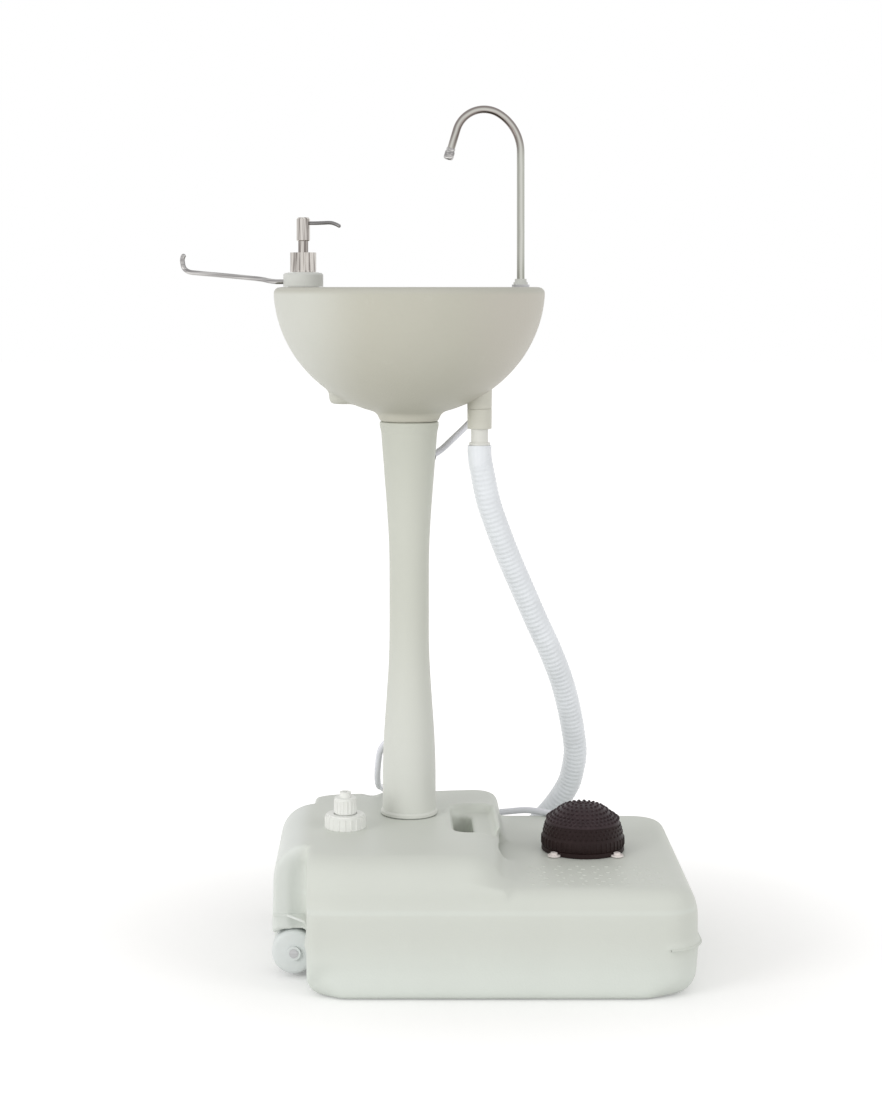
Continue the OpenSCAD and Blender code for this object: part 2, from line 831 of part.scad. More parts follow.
module axle_caps() {
    color(steel)
        both_ends()
            translate([-wheel_left, wheel_inner_y - wheel_w - 1 - rest_gap, wheel_z])
                rotate([90, 0, 0])
                    difference() {
                        cylinder(r = axle_r + 3, h = cap_t);
                        translate([0, 0, -cut])
                            cylinder(r = axle_r + turn_gap, h = cap_t + 2 * cut);
                    }
}

// Column

lower_bend_z = 375;
foot_bend_z = 205;
upper_bend_z = 455;
top_bend_z = 680;
flare = 12.1;

function column_r(z) = waist_r
    + (foot_r - waist_r) * ease((lower_bend_z - z) / (lower_bend_z - foot_bend_z))
    + flare * ease((z - upper_bend_z) / (top_bend_z - upper_bend_z));
function column_heights() = [for (k = [0:20]) mix(hump_h + lip_h, column_top - 14, k / 20)];

// Where the supply tube goes through the column
upper_hole = [24.2, 19.8, 590.3];
upper_aim = unit([15, 12.2, 5]);
lower_hole = [-20.5, 20.5, 238.5];
lower_aim = unit([-1, 1, -0.35]);
grommet_len = 7;

// Draws its children with +Z along aim from the point at
module aimed(at, aim) {
    translate(at)
        rotate([0, acos(aim.z), atan2(aim.y, aim.x)])
            children();
}

module column() {
    hs = column_heights();
    color(hdpe)
        difference() {
            union() {
                rotate_extrude()
                    polygon([[0, hump_h], [lip_r - 1, hump_h], [lip_r, hump_h + 1],
                        [lip_r, hump_h + lip_h - 2], [lip_r - 1, hump_h + lip_h - 1],
                        for (z = hs) [column_r(z), z],
                        [column_top_r, column_top - 5], [column_top_r, column_top - 1],
                        [column_top_r - 1, column_top], [basin_spigot_r, column_top],
                        [basin_spigot_r, column_top + basin_spigot_len],
                        [0, column_top + basin_spigot_len]]);
                translate([0, 0, hump_h - tank_spigot_len])
                    cylinder(r = tank_spigot_r, h = tank_spigot_len + cut);
            }
            rotate_extrude()
                polygon([[0, hump_h - tank_spigot_len - cut],
                    [tank_spigot_r - column_wall, hump_h - tank_spigot_len - cut],
                    [tank_spigot_r - column_wall, hump_h],
                    for (z = hs) [column_r(z) - column_wall, z],
                    [basin_spigot_r - column_wall, column_top - 4],
                    [basin_spigot_r - column_wall, column_top + basin_spigot_len + cut],
                    [0, column_top + basin_spigot_len + cut]]);
            aimed(upper_hole - 12 * upper_aim, upper_aim)
                cylinder(r = tube_r + 1.8, h = 30);
            aimed(lower_hole - 12 * lower_aim, lower_aim)
                cylinder(r = tube_r + 1.8, h = 30);
        }
}

module grommet() {
    difference() {
        union() {
            translate([0, 0, -grommet_len / 2])
                cylinder(r = tube_r + 1.6, h = grommet_len);
            translate([0, 0, grommet_len / 2])
                cylinder(r = tube_r + 3.4, h = 2);
        }
        translate([0, 0, -grommet_len])
            cylinder(r = tube_r + 0.15, h = 3 * grommet_len);
    }
}

module upper_grommet() {
    color(soft_rubber)
        aimed(upper_hole, upper_aim)
            grommet();
}

module lower_grommet() {
    color(soft_rubber)
        aimed(lower_hole + 1.6 * lower_aim, lower_aim)
            grommet();
}

// Basin

basin_socket_top = column_top + basin_spigot_len + rest_gap;
bowl_front = 4;
bowl_rings = 12;
bowl_sides = 48;
bowl_fullness = 0.75;
drain_flat_r = strainer_r + 3;
drain_boss_r = strainer_tube_r + 3.4;
drain_boss_z = 651;
soap_cup_right = 47.5;
soap_cup_r = 16;
soap_cup_z = 656.5;
// Where the supply tube leaves the underside
tube_exit = [88, 71, 672];

neck_fillet = 10;
// Outline of the outside, drawn in by inset from every face
function outside(inset) = let (start = asin(rim_edge_r / basin_reach),
    finish = acos((basin_neck_r + neck_fillet) / rim_r))
    [[0, column_top + inset], [basin_neck_r - inset, column_top + inset],
     for (s = [[0, 0.35, 0], [0.05, 0.54, 15], [0.2, 0.77, 40], [0.46, 0.94, 60]])
         [basin_neck_r + neck_fillet * s[0] - inset * cos(s[2]),
          column_top + neck_fillet * 1.28 * s[1] + inset * sin(s[2])],
     for (k = [24:-1:0]) let (a = mix(start, finish, k / 24))
         [(rim_r - inset) * cos(a), rim_z - (basin_reach - inset) * sin(a)],
     for (a = [15:15:90]) [rim_r - rim_edge_r + (rim_edge_r - inset) * cos(a),
         rim_z - rim_edge_r + (rim_edge_r - inset) * sin(a)],
     [0, rim_z - inset]];

// One ring of the bowl: it shrinks and slides to the drain as it goes down
function bowl_ring(k, grow) = let (turn = 90 * k / bowl_rings, share = pow(cos(turn), bowl_fullness),
    cx = mix(drain_right, bowl_right, share), cy = mix(-drain_front, -bowl_front, share),
    ax = mix(drain_flat_r, bowl_half_x, share) + grow, ay = mix(drain_flat_r, bowl_half_y, share) + grow,
    z = rim_z - bowl_lip - (bowl_depth - bowl_lip + grow) * sin(turn))
    [for (j = [0:bowl_sides - 1]) let (a = 360 * j / bowl_sides) [cx + ax * cos(a), cy + ay * sin(a), z]];
function lip_ring(t, grow) = [for (j = [0:bowl_sides - 1]) let (a = 360 * j / bowl_sides,
    out = bowl_lip * (1 - cos(90 * t)) + grow)
    [bowl_right + (bowl_half_x + out) * cos(a), -bowl_front + (bowl_half_y + out) * sin(a),
     rim_z - bowl_lip + bowl_lip * sin(90 * t)]];
function raised(ring, by) = [for (p = ring) p + [0, 0, by]];

module bowl_space(grow) {
    lips = 3;
    rings = [each raised(lip_ring(1, grow), cut),
        for (i = [lips:-1:1]) each lip_ring(i / lips, grow),
        for (k = [0:bowl_rings]) each bowl_ring(k, grow)];
    count = lips + bowl_rings + 2;
    polyhedron(points = rings, faces = [each cap(0, bowl_sides, true),
        for (i = [0:count - 2]) each band(i, i + 1, bowl_sides),
        each cap(count - 1, bowl_sides, false)]);
}

module basin() {
    socket_wall = 3;
    color(hdpe)
        difference() {
            union() {
                rotate_extrude()
                    polygon(outside(0));
                translate([-soap_left + soap_cup_right, 0, soap_cup_z])
                    cylinder(r = soap_cup_r, h = 50);
                translate([drain_right, -drain_front, drain_boss_z])
                    cylinder(r = drain_boss_r, h = 40);
            }
            difference() {
                union() {
                    rotate_extrude()
                        polygon(outside(basin_wall));
                    translate([-soap_left + soap_cup_right, 0, soap_cup_z + basin_wall])
                        cylinder(r = soap_cup_r - basin_wall, h = 40);
                }
                bowl_space(basin_wall);
                cylinder(r = basin_spigot_r + fit_gap + socket_wall, h = basin_socket_top + socket_wall);
                translate([drain_right, -drain_front, 0])
                    cylinder(r = drain_boss_r, h = rim_z);
            }
            bowl_space(0);
            translate([0, 0, column_top - cut])
                cylinder(r = basin_spigot_r + fit_gap, h = basin_spigot_len + rest_gap + cut);
            translate([drain_right, -drain_front, drain_boss_z - cut])
                cylinder(r = strainer_tube_r + fit_gap, h = 60);
            translate([-soap_left, 0, rim_z - 2 * basin_wall])
                cylinder(r = soap_neck_r, h = 3 * basin_wall);
            translate([faucet_right, 0, rim_z - 2 * basin_wall])
                cylinder(r = shank_r + fit_gap, h = 3 * basin_wall);
            aimed(tube_exit, unit([5.8, -3.4, 18]))
                cylinder(r = tube_r + 1.3, h = 23.5);
            aimed(tube_exit + [5.8, -3.4, 18], unit([4.7, -6.1, 7]))
                cylinder(r = tube_r + 2, h = 10);
        }
}

// Drain

strainer_z = rim_z - bowl_depth;
strainer_t = 2;
strainer_tube_len = 46;
tail_top_z = drain_boss_z - rest_gap;
tail_end_z = tail_top_z - tail_len;
coupling_end_z = tail_end_z - coupling_len;
hose_top_z = coupling_end_z - rest_gap;

module at_drain(z) {
    translate([drain_right, -drain_front, z])
        children();
}

module drain_strainer() {
    holes = 8;
    color(chrome)
        difference() {
            at_drain(strainer_z) {
                cylinder(r = strainer_r, h = strainer_t);
                translate([0, 0, -strainer_tube_len])
                    cylinder(r = strainer_tube_r, h = strainer_tube_len + cut);
            }
            at_drain(strainer_z - strainer_tube_len - cut)
                cylinder(r = strainer_tube_r - 1.5, h = strainer_tube_len - 1);
            at_drain(strainer_z - 3) {
                cylinder(r = 1.8, h = 6);
                for (i = [0:holes - 1])
                    rotate(360 * i / holes)
                        translate([strainer_tube_r - 5, 0, 0])
                            cylinder(r = 1.8, h = 6);
            }
        }
}

module drain_tailpiece() {
    socket_len = strainer_tube_len - (strainer_z - tail_top_z) + rest_gap;
    color(hdpe)
        difference() {
            at_drain(tail_end_z)
                cylinder(r1 = tail_end_r, r2 = tail_top_r, h = tail_len);
            at_drain(tail_top_z - socket_len)
                cylinder(r = strainer_tube_r + fit_gap, h = socket_len + cut);
            at_drain(tail_end_z - cut)
                cylinder(r = coupling_r - 2 + fit_gap, h = tail_len);
        }
}

module drain_coupling() {
    spigot_len = 8;
    color(white_plastic)
        difference() {
            union() {
                at_drain(tail_end_z)
                    cylinder(r = coupling_r - 2, h = spigot_len);
                at_drain(coupling_end_z)
                    cylinder(r = coupling_r, h = coupling_len - rest_gap);
                at_drain(coupling_end_z)
                    cylinder(r = coupling_r - 2, h = coupling_len + cut);
                at_drain(coupling_end_z)
                    cylinder(r = hose_root_r, h = 3);
                at_drain(coupling_end_z - 10)
                    cylinder(r = hose_bore_r - 1.4, h = 11);
            }
            at_drain(coupling_end_z - 15)
                cylinder(r = coupling_r - 4.5, h = coupling_len + 30);
        }
}

// Route of the drain hose, from the coupling down behind the tank to its open end
drain_route = [[86, -8, 606], [86.3, -8, 592], [89, -6, 576], [97, 2, 538], [110, 12, 500],
    [125, 25, 462], [142, 38, 423], [159, 51, 384], [177.5, 65, 344], [193.5, 83, 303],
    [205, 100, 261], [213, 118, 219], [214.5, 127, 198], [212, 137, 176], [207, 147, 155],
    [190, 162, 124], [165, 178, 92], [132, 190, 60], [95, 200, 34], [55, 206, 19], [10, 209, 15.3],
    [-45, 210, 15.3], [-90, 210, 15.3], [-130, 208, 15.3]];
hose_ribs = 150;
hose_cuff = 3;

module drain_hose() {
    shift = [drain_right - drain_route[0].x, -drain_front - drain_route[0].y, hose_top_z - drain_route[0].z];
    bound = [for (i = [0:len(drain_route) - 1]) drain_route[i] + shift * max(0, 1 - i / 12)];
    line = smooth_route(bound, 6);
    pts = even_route(line, 2 * hose_ribs);
    radii = [for (i = [0:2 * hose_ribs]) i < hose_cuff || i > 2 * hose_ribs - hose_cuff
        ? hose_root_r + 0.6 : (i % 2 == 0 ? hose_r : hose_root_r)];
    bore_pts = even_route(line, 60);
    echo(drain_hose_length = total_length(line));
    color(clear_plastic)
        ribbed_tube(pts, radii, bore_pts, hose_bore_r, 8, [0, 1, 0]);
}

// Faucet

shank_flange_t = 3;
deck_z = rim_z;
barb_len = 20;
nut_h = 7;
gland_h = 7;
shank_len = 24;
faucet_end_z = deck_z - shank_len + 4;

module at_faucet(z) {
    translate([faucet_right, 0, z])
        children();
}

module faucet_shank() {
    color(steel)
        difference() {
            union() {
                at_faucet(deck_z)
                    cylinder(r = shank_r + 3, h = shank_flange_t);
                at_faucet(deck_z - shank_len)
                    cylinder(r = shank_r, h = shank_len + cut);
                at_faucet(deck_z - shank_len - barb_len)
                    cylinder(r = tube_r - 0.6, h = barb_len + cut);
            }
            at_faucet(faucet_end_z - 1)
                cylinder(r = faucet_r + turn_gap, h = shank_len + margin);
            at_faucet(deck_z - shank_len - barb_len - cut)
                cylinder(r = 2, h = barb_len + 10);
        }
}

module faucet_nut() {
    color(steel)
        at_faucet(deck_z - basin_wall - nut_h)
            difference() {
                cylinder(r = shank_r + 4.5, h = nut_h, $fn = 6);
                translate([0, 0, -cut])
                    cylinder(r = shank_r + fit_gap, h = nut_h + 2 * cut);
            }
}

oring_r = 0.9;
oring_z = deck_z + shank_flange_t + 2;

module faucet_gland() {
    color(white_plastic)
        difference() {
            at_faucet(deck_z + shank_flange_t) {
                cylinder(r = shank_r + 1, h = 3);
                cylinder(r = shank_r - 0.6, h = gland_h);
            }
            at_faucet(deck_z + shank_flange_t - cut)
                cylinder(r = faucet_r + turn_gap, h = gland_h + 2 * cut);
            at_faucet(oring_z - oring_r - 0.1)
                cylinder(r = faucet_r + 2 * oring_r + 0.15, h = 2 * oring_r + 0.2);
        }
}

module faucet_oring() {
    color(soft_rubber)
        at_faucet(oring_z)
            rotate_extrude()
                translate([faucet_r + oring_r + turn_gap, 0])
                    circle(r = oring_r);
}

// The gooseneck is a long arc at the stem, a tighter crown and a straight end that leans outward
side_angle = 2 * atan((arch_half_w - arch_crown_r) / (arch_h - arch_crown_r));
side_arc_r = arch_crown_r + (arch_h - arch_crown_r) / sin(side_angle);
spring_z = rim_z + faucet_rise;
arch_x = faucet_right - arch_half_w;
crown_z = spring_z + arch_h - arch_crown_r;

// A ring of tube about the Y axis through the middle of an arc
module tube_ring(x, z, arc_r) {
    translate([x, 0, z])
        rotate([90, 0, 0])
            rotate_extrude()
                translate([arc_r, 0])
                    difference() {
                        circle(r = faucet_r);
                        circle(r = faucet_r - faucet_wall);
                    }
}

// A straight tube whose wall is thinner by step on either side
module straight_tube(h, step) {
    difference() {
        cylinder(r = faucet_r - step, h = h);
        translate([0, 0, -cut])
            cylinder(r = faucet_r - faucet_wall + step, h = h + 2 * cut);
    }
}

arch_reach = 3 * side_arc_r;
// How far the straight end is sunk into the crown's wall
spout_sunk = 0.5;

// A slab of the arch's plane
module arch_plane(x, z, outline) {
    translate([x, 2 * faucet_r, z])
        rotate([90, 0, 0])
            linear_extrude(4 * faucet_r)
                polygon(outline);
}

// The part of that plane that the arc at the stem takes up
module stem_wedge() {
    arch_plane(arch_x + arch_half_w - side_arc_r, spring_z,
        [[0, 0], [arch_reach, 0], [arch_reach * cos(side_angle), arch_reach * sin(side_angle)]]);
}

// Draws its children with +Z down the spout's straight end
module at_spout() {
    translate([arch_x - arch_crown_r * cos(spout_lean), 0, crown_z + arch_crown_r * sin(spout_lean)])
        rotate([0, 180 + spout_lean, 0])
            children();
}

module faucet_tube() {
    color(chrome) {
        intersection() {
            tube_ring(arch_x + arch_half_w - side_arc_r, spring_z, side_arc_r);
            stem_wedge();
        }
        difference() {
            tube_ring(arch_x, crown_z, arch_crown_r);
            stem_wedge();
            arch_plane(arch_x, crown_z, [[0, 0],
                [-arch_reach * cos(spout_lean), arch_reach * sin(spout_lean)],
                [-arch_reach, -arch_reach], [0, -arch_reach]]);
            translate([arch_x - arch_half_w, -2 * faucet_r, spring_z - arch_half_w])
                cube([2 * arch_half_w, 4 * faucet_r, arch_half_w]);
        }
        translate([faucet_right, 0, faucet_end_z])
            straight_tube(spring_z - faucet_end_z, 0);
        at_spout()
            translate([0, 0, -spout_sunk])
                straight_tube(spout_len + spout_sunk, 0.05);
    }
}

module spout_tip() {
    tip_start = spout_len + 3 - tip_len;
    color(chrome)
        at_spout()
            difference() {
                translate([0, 0, tip_start])
                    cylinder(r = tip_r, h = tip_len);
                translate([0, 0, tip_start - cut])
                    cylinder(r = faucet_r + rest_gap, h = spout_len - tip_start + cut);
                translate([0, 0, tip_start])
                    cylinder(r = tip_r - 2, h = tip_len + cut);
            }
}

// Supply tube

supply_route = [[136.8, 0, 755.6], [136.8, 0, 748], [136.4, 1, 739.5], [134.5, 6.5, 731.5], [130.5, 16, 724],
    [124.5, 28.5, 717], [116.5, 43, 710], [106.5, 54.3, 703.5], [98.5, 61.5, 697], [93.8, 67.6, 690], [90.3, 70.4, 681],
    [88, 71, 670], [86, 70, 655], [82, 64, 638], [76, 57, 630], [66, 50.5, 620.5], [54, 42, 610], [42, 33.5, 599.5],
    [31, 25.3, 592.6], [24.2, 19.8, 590.3], [16.5, 13.5, 587.7], [6, 5, 575], [1, 1, 549], [0, 0, 520],
    [0, 0, 440], [0, 0, 360], [0, 0, 300], [0, 0, 280], [0, 0, 266], [-1.1, 1.1, 257.1],
    [-4.3, 4.3, 249.3], [-9.2, 9.2, 243.5], [-13.9, 13.9, 240.8], [-20.5, 20.5, 238.5],
    [-25.5, 25.5, 236.75], [-30.3, 30.6, 233], [-34, 35, 227], [-36.5, 39.5, 219.5], [-38.3, 48, 205],
    [-39.3, 61, 189.5], [-39, 78, 175.5], [-37.5, 98, 165], [-35, 118, 159], [-27, 135, 150], [-10, 144, 139],
    [25, 145, 129],
    [60, 145, 121], [95, 144, 119], [125, 140, 122], [152, 132, 126], [176, 118, 126.3],
    [194, 97, 127], [205, 72, 130], [209, 52, 131.5], [209, 43, 131.5], [209, 34.3, 131.5]];

module supply_tube() {
    line = smooth_route(supply_route, 6);
    echo(supply_tube_length = total_length(line));
    color(clear_plastic)
        swept_tube(even_route(line, 78), tube_r, 10, [1, 0, 0]);
}

// Soap pump and towel arm

collar_z = deck_z + towel_collar_h + 1.3;
bottle_mouth_r = 12.5;
soap_collar_top = collar_z + soap_collar_h;
pump_body_r = 8;
head_z = soap_collar_top + stem_show;
piston_z = deck_z + 2;

module at_soap(z) {
    translate([-soap_left, 0, z])
        children();
}

// Threaded sleeve through the deck, with a flange under it
module soap_neck() {
    color(hdpe)
        difference() {
            union() {
                at_soap(deck_z - basin_wall - 5)
                    cylinder(r = soap_neck_r - turn_gap, h = collar_z - deck_z + basin_wall + 5 - rest_gap);
                at_soap(deck_z - basin_wall - 5)
                    cylinder(r = soap_neck_r + 3, h = 4.8);
            }
            at_soap(deck_z - basin_wall - 6)
                cylinder(r = bottle_mouth_r + 2.2, h = collar_z - deck_z + margin);
        }
}

bottle_shoulder_z = 780;
bottle_bend_z = 758;

module bottle_form(inset) {
    hull() {
        at_soap(bottle_bend_z)
            cylinder(r = 17 - inset, h = bottle_shoulder_z - bottle_bend_z - inset, $fn = hull_fn);
        translate([-soap_left + soap_cup_right + 3, 0, soap_cup_z + basin_wall + rest_gap + inset])
            cylinder(r = soap_cup_r - basin_wall - 6 - inset, h = 6, $fn = hull_fn);
    }
}

module soap_bottle() {
    wall = 1.6;
    color(white_plastic)
        difference() {
            union() {
                bottle_form(0);
                at_soap(bottle_shoulder_z - cut)
                    cylinder(r = bottle_mouth_r, h = soap_collar_top - 6 - bottle_shoulder_z + cut);
            }
            bottle_form(wall);
            at_soap(bottle_shoulder_z - 3)
                cylinder(r = bottle_mouth_r - wall - 0.4, h = 80);
        }
}

module soap_collar() {
    flute_r = 1.1;
    color(chrome)
        difference() {
            at_soap(collar_z)
                cylinder(r = soap_collar_r, h = soap_collar_h);
            at_soap(collar_z - cut)
                cylinder(r = bottle_mouth_r + rest_gap, h = soap_collar_h - 3.5 + cut);
            at_soap(collar_z)
                cylinder(r = stem_r + rest_gap, h = soap_collar_h + cut);
            at_soap(collar_z + 2)
                for (i = [0:soap_flutes - 1])
                    rotate(360 * i / soap_flutes)
                        translate([soap_collar_r + 0.4, 0, 0])
                            cylinder(r = flute_r, h = soap_collar_h, $fn = 16);
        }
}

body_top = soap_collar_top - 6;
body_bottom = 752;

module soap_pump_body() {
    color(white_plastic)
        difference() {
            union() {
                at_soap(body_bottom)
                    cylinder(r = pump_body_r, h = body_top - body_bottom + 2);
                at_soap(body_top + 0.1)
                    cylinder(r = bottle_mouth_r - 0.3, h = 1.9);
            }
            at_soap(body_bottom + 2)
                cylinder(r = pump_body_r - 1.2, h = body_top);
            at_soap(body_bottom - cut)
                cylinder(r = 1.5, h = 6);
        }
}

spring_seat_z = body_bottom + 4;

// Points of a helix from z0 up to z1
function helix(r, z0, z1, turns, steps) = [for (i = [0:turns * steps])
    [r * cos(360 * i / steps), r * sin(360 * i / steps), mix(z0, z1, i / (turns * steps))]];
// Least gap between one curl of a spring and the next
function curl_gap(z0, z1, turns, wire_r) = (z1 - z0) / turns - 2 * wire_r;

module spring_form(r, z0, z1, turns, wire_r) {
    pts = helix(r, z0 + wire_r, z1 - wire_r, turns, 8);
    echo(spring_self_gap = curl_gap(z0, z1, turns, wire_r));
    swept_tube(pts, wire_r, 6, [0, 0, 1]);
}

module soap_spring() {
    color(steel)
        at_soap(0)
            spring_form(pump_body_r - 2.4, spring_seat_z - 1.9, piston_z - rest_gap, 8, 0.6);
}

module soap_stem() {
    color(chrome)
        at_soap(piston_z) {
            cylinder(r = pump_body_r - 1.2 - turn_gap, h = 6);
            cylinder(r = stem_r - 1, h = 20);
            cylinder(r = stem_r, h = head_z - piston_z);
        }
}

dip_route = [[-130, 0, 751.7], [-130, 0, 747], [-128, 0, 741], [-121, 0, 729], [-112, 0, 714], [-103, 0, 699],
    [-95, 0, 687], [-88.5, 0, 677]];

module soap_dip_tube() {
    color(clear_plastic)
        swept_tube(even_route(smooth_route(dip_route, 5), 10), 2.5, 10, [0, 1, 0]);
}

module soap_head() {
    chamfer = 2;
    color(chrome)
        at_soap(head_z)
            rotate_extrude()
                polygon([[0, 0], [head_r - 1, 0], [head_r, 1], [head_r, head_h - chamfer],
                    [head_r - chamfer, head_h], [0, head_h]]);
}

nozzle_z = head_z + head_h - 7;

module soap_nozzle() {
    root = [-soap_left + head_r, 0, nozzle_z];
    bend = [root.x + spout_reach * 0.55, 0, nozzle_z + 0.5];
    tip = [root.x + spout_reach - head_r, 0, nozzle_z - 4.5];
    route = [root, root + [6, 0, 0], mix(root, bend, 0.6), bend, mix(bend, tip, 0.55) + [0, 0, 0.8], tip];
    color(chrome)
        swept_tube(even_route(smooth_route(route, 5), 16), spout_r, 12, [0, 1, 0]);
}

arm_z = deck_z + 6.5;
arm_root = -soap_left - towel_collar_r + 3;

// Ring round the soap neck that carries the towel arm
module towel_collar() {
    color(hdpe)
        difference() {
            at_soap(deck_z + rest_gap)
                rotate_extrude()
                    polygon([[soap_neck_r + turn_gap, 0], [towel_collar_r, 0],
                        [towel_collar_r, towel_collar_h - 2], [towel_collar_r - 2, towel_collar_h],
                        [soap_neck_r + turn_gap, towel_collar_h]]);
            translate([arm_root, 0, arm_z])
                rotate([0, -90, 0])
                    cylinder(r = arm_r + turn_gap, h = margin);
        }
}

// Route of the towel arm: a kink beside the collar, a long rise and a curled tip
arm_span = arm_left - soap_left;
arm_route = [[arm_root, 0, arm_z], [arm_root - 6, 0, arm_z], [arm_root - 12, 0, arm_z],
    [arm_root - 20, 0, arm_z + 1],
    [arm_root - 30, 0, arm_z + 3], [arm_root - 48, 0, arm_z + 5], [arm_root - 80, 0, arm_z + 8],
    [-arm_left + 20, 0, deck_z + 17], [-arm_left + 9, 0, deck_z + 18.5],
    [-arm_left + 3, 0, deck_z + 23], [-arm_left + 1, 0, deck_z + 30],
    [-arm_left + 1, 0, deck_z + 35.5], [-arm_left + 3.5, 0, deck_z + 40.5]];

module towel_arm() {
    color(chrome)
        swept_tube(even_route(smooth_route(arm_route, 6), 30), arm_r, 10, [0, 1, 0]);
}

// Foot pump

flange_z = slab_h + 1;
base_t = 4;
lug_t = 2;
bellows_z = flange_z + base_t;
tread_z = slab_h + tread_edge_h;
crown_z2 = slab_h + crown_edge_h;
pump_top = slab_h + pump_h;
cup_floor = slab_h - cup_depth;
cup_wall = 2.5;
outlet_y = -pump_front + base_r + 10;
outlet_z = 131.5;

module at_pump(z) {
    translate([pump_right, -pump_front, z])
        children();
}

module pump_base() {
    lug_r = 7.5;
    intake_r = 7;
    color(black_rubber)
        difference() {
            union() {
                at_pump(flange_z)
                    cylinder(r = base_r, h = base_t);
                at_pump_screws()
                    translate([0, 0, flange_z])
                        cylinder(r = lug_r, h = lug_t);
                translate([pump_right - 7, -pump_front, flange_z])
                    cube([14, outlet_y + pump_front, base_t]);
                translate([pump_right, outlet_y, flange_z])
                    cylinder(r = 7, h = base_t);
                at_pump(cup_floor)
                    cylinder(r = cup_r, h = flange_z - cup_floor + cut);
                at_pump(cup_floor - 10)
                    cylinder(r = intake_r, h = 11);
            }
            at_pump(cup_floor + cup_wall)
                cylinder(r = cup_r - cup_wall, h = cup_depth + margin);
            at_pump(cup_floor - 11)
                cylinder(r = intake_r - 2, h = 20);
            at_pump_screws()
                translate([0, 0, slab_h - cut])
                    cylinder(r = screw_r + fit_gap, h = base_t + 3 * cut);
            translate([pump_right, outlet_y, flange_z - cut])
                cylinder(r = 2.5, h = base_t + 2 * cut);
        }
}

module pump_gasket() {
    color(soft_rubber)
        at_pump(slab_h)
            difference() {
                cylinder(r = base_r - 1, h = 1);
                translate([0, 0, -cut])
                    cylinder(r = pump_hole_r, h = 1 + 2 * cut);
            }
}

module pump_screws() {
    color(steel)
        at_pump_screws()
            translate([0, 0, flange_z + lug_t]) {
                cylinder(r = 4, h = 2.4);
                translate([0, 0, -screw_len + 2])
                    cylinder(r = screw_r, h = screw_len - 1);
            }
}

// The rubber wall: it bulges over the base, steps in at the tread and is open inside
function bellows_outline(out) = let (top = tread_z - rest_gap, low = bellows_z)
    [[base_r - 4 + out, low], [bellows_r - 1.5 + out, low + 4], [bellows_r + out, low + 8],
     [bellows_r - 0.5 + out, low + 13], [bellows_r - 1.2 + out, low + 18],
     [bellows_r - 1.8 + out, low + 23], [tread_r - 0.5 + out, top]];

module pump_bellows() {
    outer = bellows_outline(0);
    inner = bellows_outline(-rubber_t);
    color(black_rubber)
        at_pump(0)
            rotate_extrude()
                polygon([each outer, for (i = [len(inner) - 1:-1:0]) inner[i]]);
}

module pump_tread() {
    color(black_rubber)
        at_pump(0)
            rotate_extrude()
                polygon([[0, pump_top - 5], [12, pump_top - 5.5], [crown_r - 4, crown_z2 - 3],
                    [tread_r - 6, tread_z + 3], [tread_r - 5, tread_z], [tread_r, tread_z],
                    [tread_r + 0.3, tread_z + 2], [tread_r - 2, tread_z + 5.5],
                    [crown_r + 4, crown_z2 - 1.5], [crown_r, crown_z2],
                    [crown_r - 3, crown_z2 + 2.5], [crown_r - 9, crown_z2 + 5.8],
                    [crown_r - 17, crown_z2 + 8], [0, pump_top]]);
}

module pump_spring() {
    color(steel)
        at_pump(0)
            spring_form(11, cup_floor + cup_wall + 2 + rest_gap, pump_top - 5.5 - rest_gap, 7, 1.2);
}

module pump_inlet_valve() {
    color(soft_rubber)
        at_pump(cup_floor + cup_wall)
            cylinder(r = 14, h = 2);
}

intake_end = 16;

module pump_intake_tube() {
    color(clear_plastic)
        difference() {
            at_pump(intake_end)
                cylinder(r = 9.2, h = cup_floor - 2 - intake_end);
            at_pump(intake_end - cut)
                cylinder(r = 7.2, h = cup_floor);
        }
}

module pump_intake_strainer() {
    slots = 8;
    color(white_plastic)
        difference() {
            at_pump(intake_end - 9)
                cylinder(r = 11.5, h = 15);
            at_pump(intake_end - rest_gap)
                cylinder(r = 9.2 + fit_gap, h = 20);
            at_pump(intake_end - 7)
                cylinder(r = 7, h = 10);
            at_pump(intake_end - 9 - cut)
                for (i = [0:slots - 1])
                    rotate(360 * i / slots)
                        translate([4.5, -0.75, 0])
                            cube([10, 1.5, 5]);
        }
}

module pump_outlet() {
    elbow_h = 8.5;
    elbow_w = 11;
    color(black_rubber)
        difference() {
            union() {
                translate([pump_right - elbow_w / 2, outlet_y - elbow_w / 2, bellows_z])
                    cube([elbow_w, elbow_w, elbow_h]);
                translate([pump_right, outlet_y + elbow_w / 2 - 1, outlet_z])
                    rotate([-90, 0, 0])
                        cylinder(r = tube_r - 0.6, h = 35 - elbow_w / 2 - outlet_y);
            }
            translate([pump_right, outlet_y, bellows_z - cut])
                cylinder(r = 3.2, h = elbow_h - 1);
            translate([pump_right, outlet_y, outlet_z])
                rotate([-90, 0, 0])
                    rotate(37)
                        cylinder(r = 2, h = 40);
        }
}

module pump_outlet_valve() {
    color(soft_rubber)
        translate([pump_right, outlet_y, bellows_z + 3.1])
            sphere(r = 3);
}

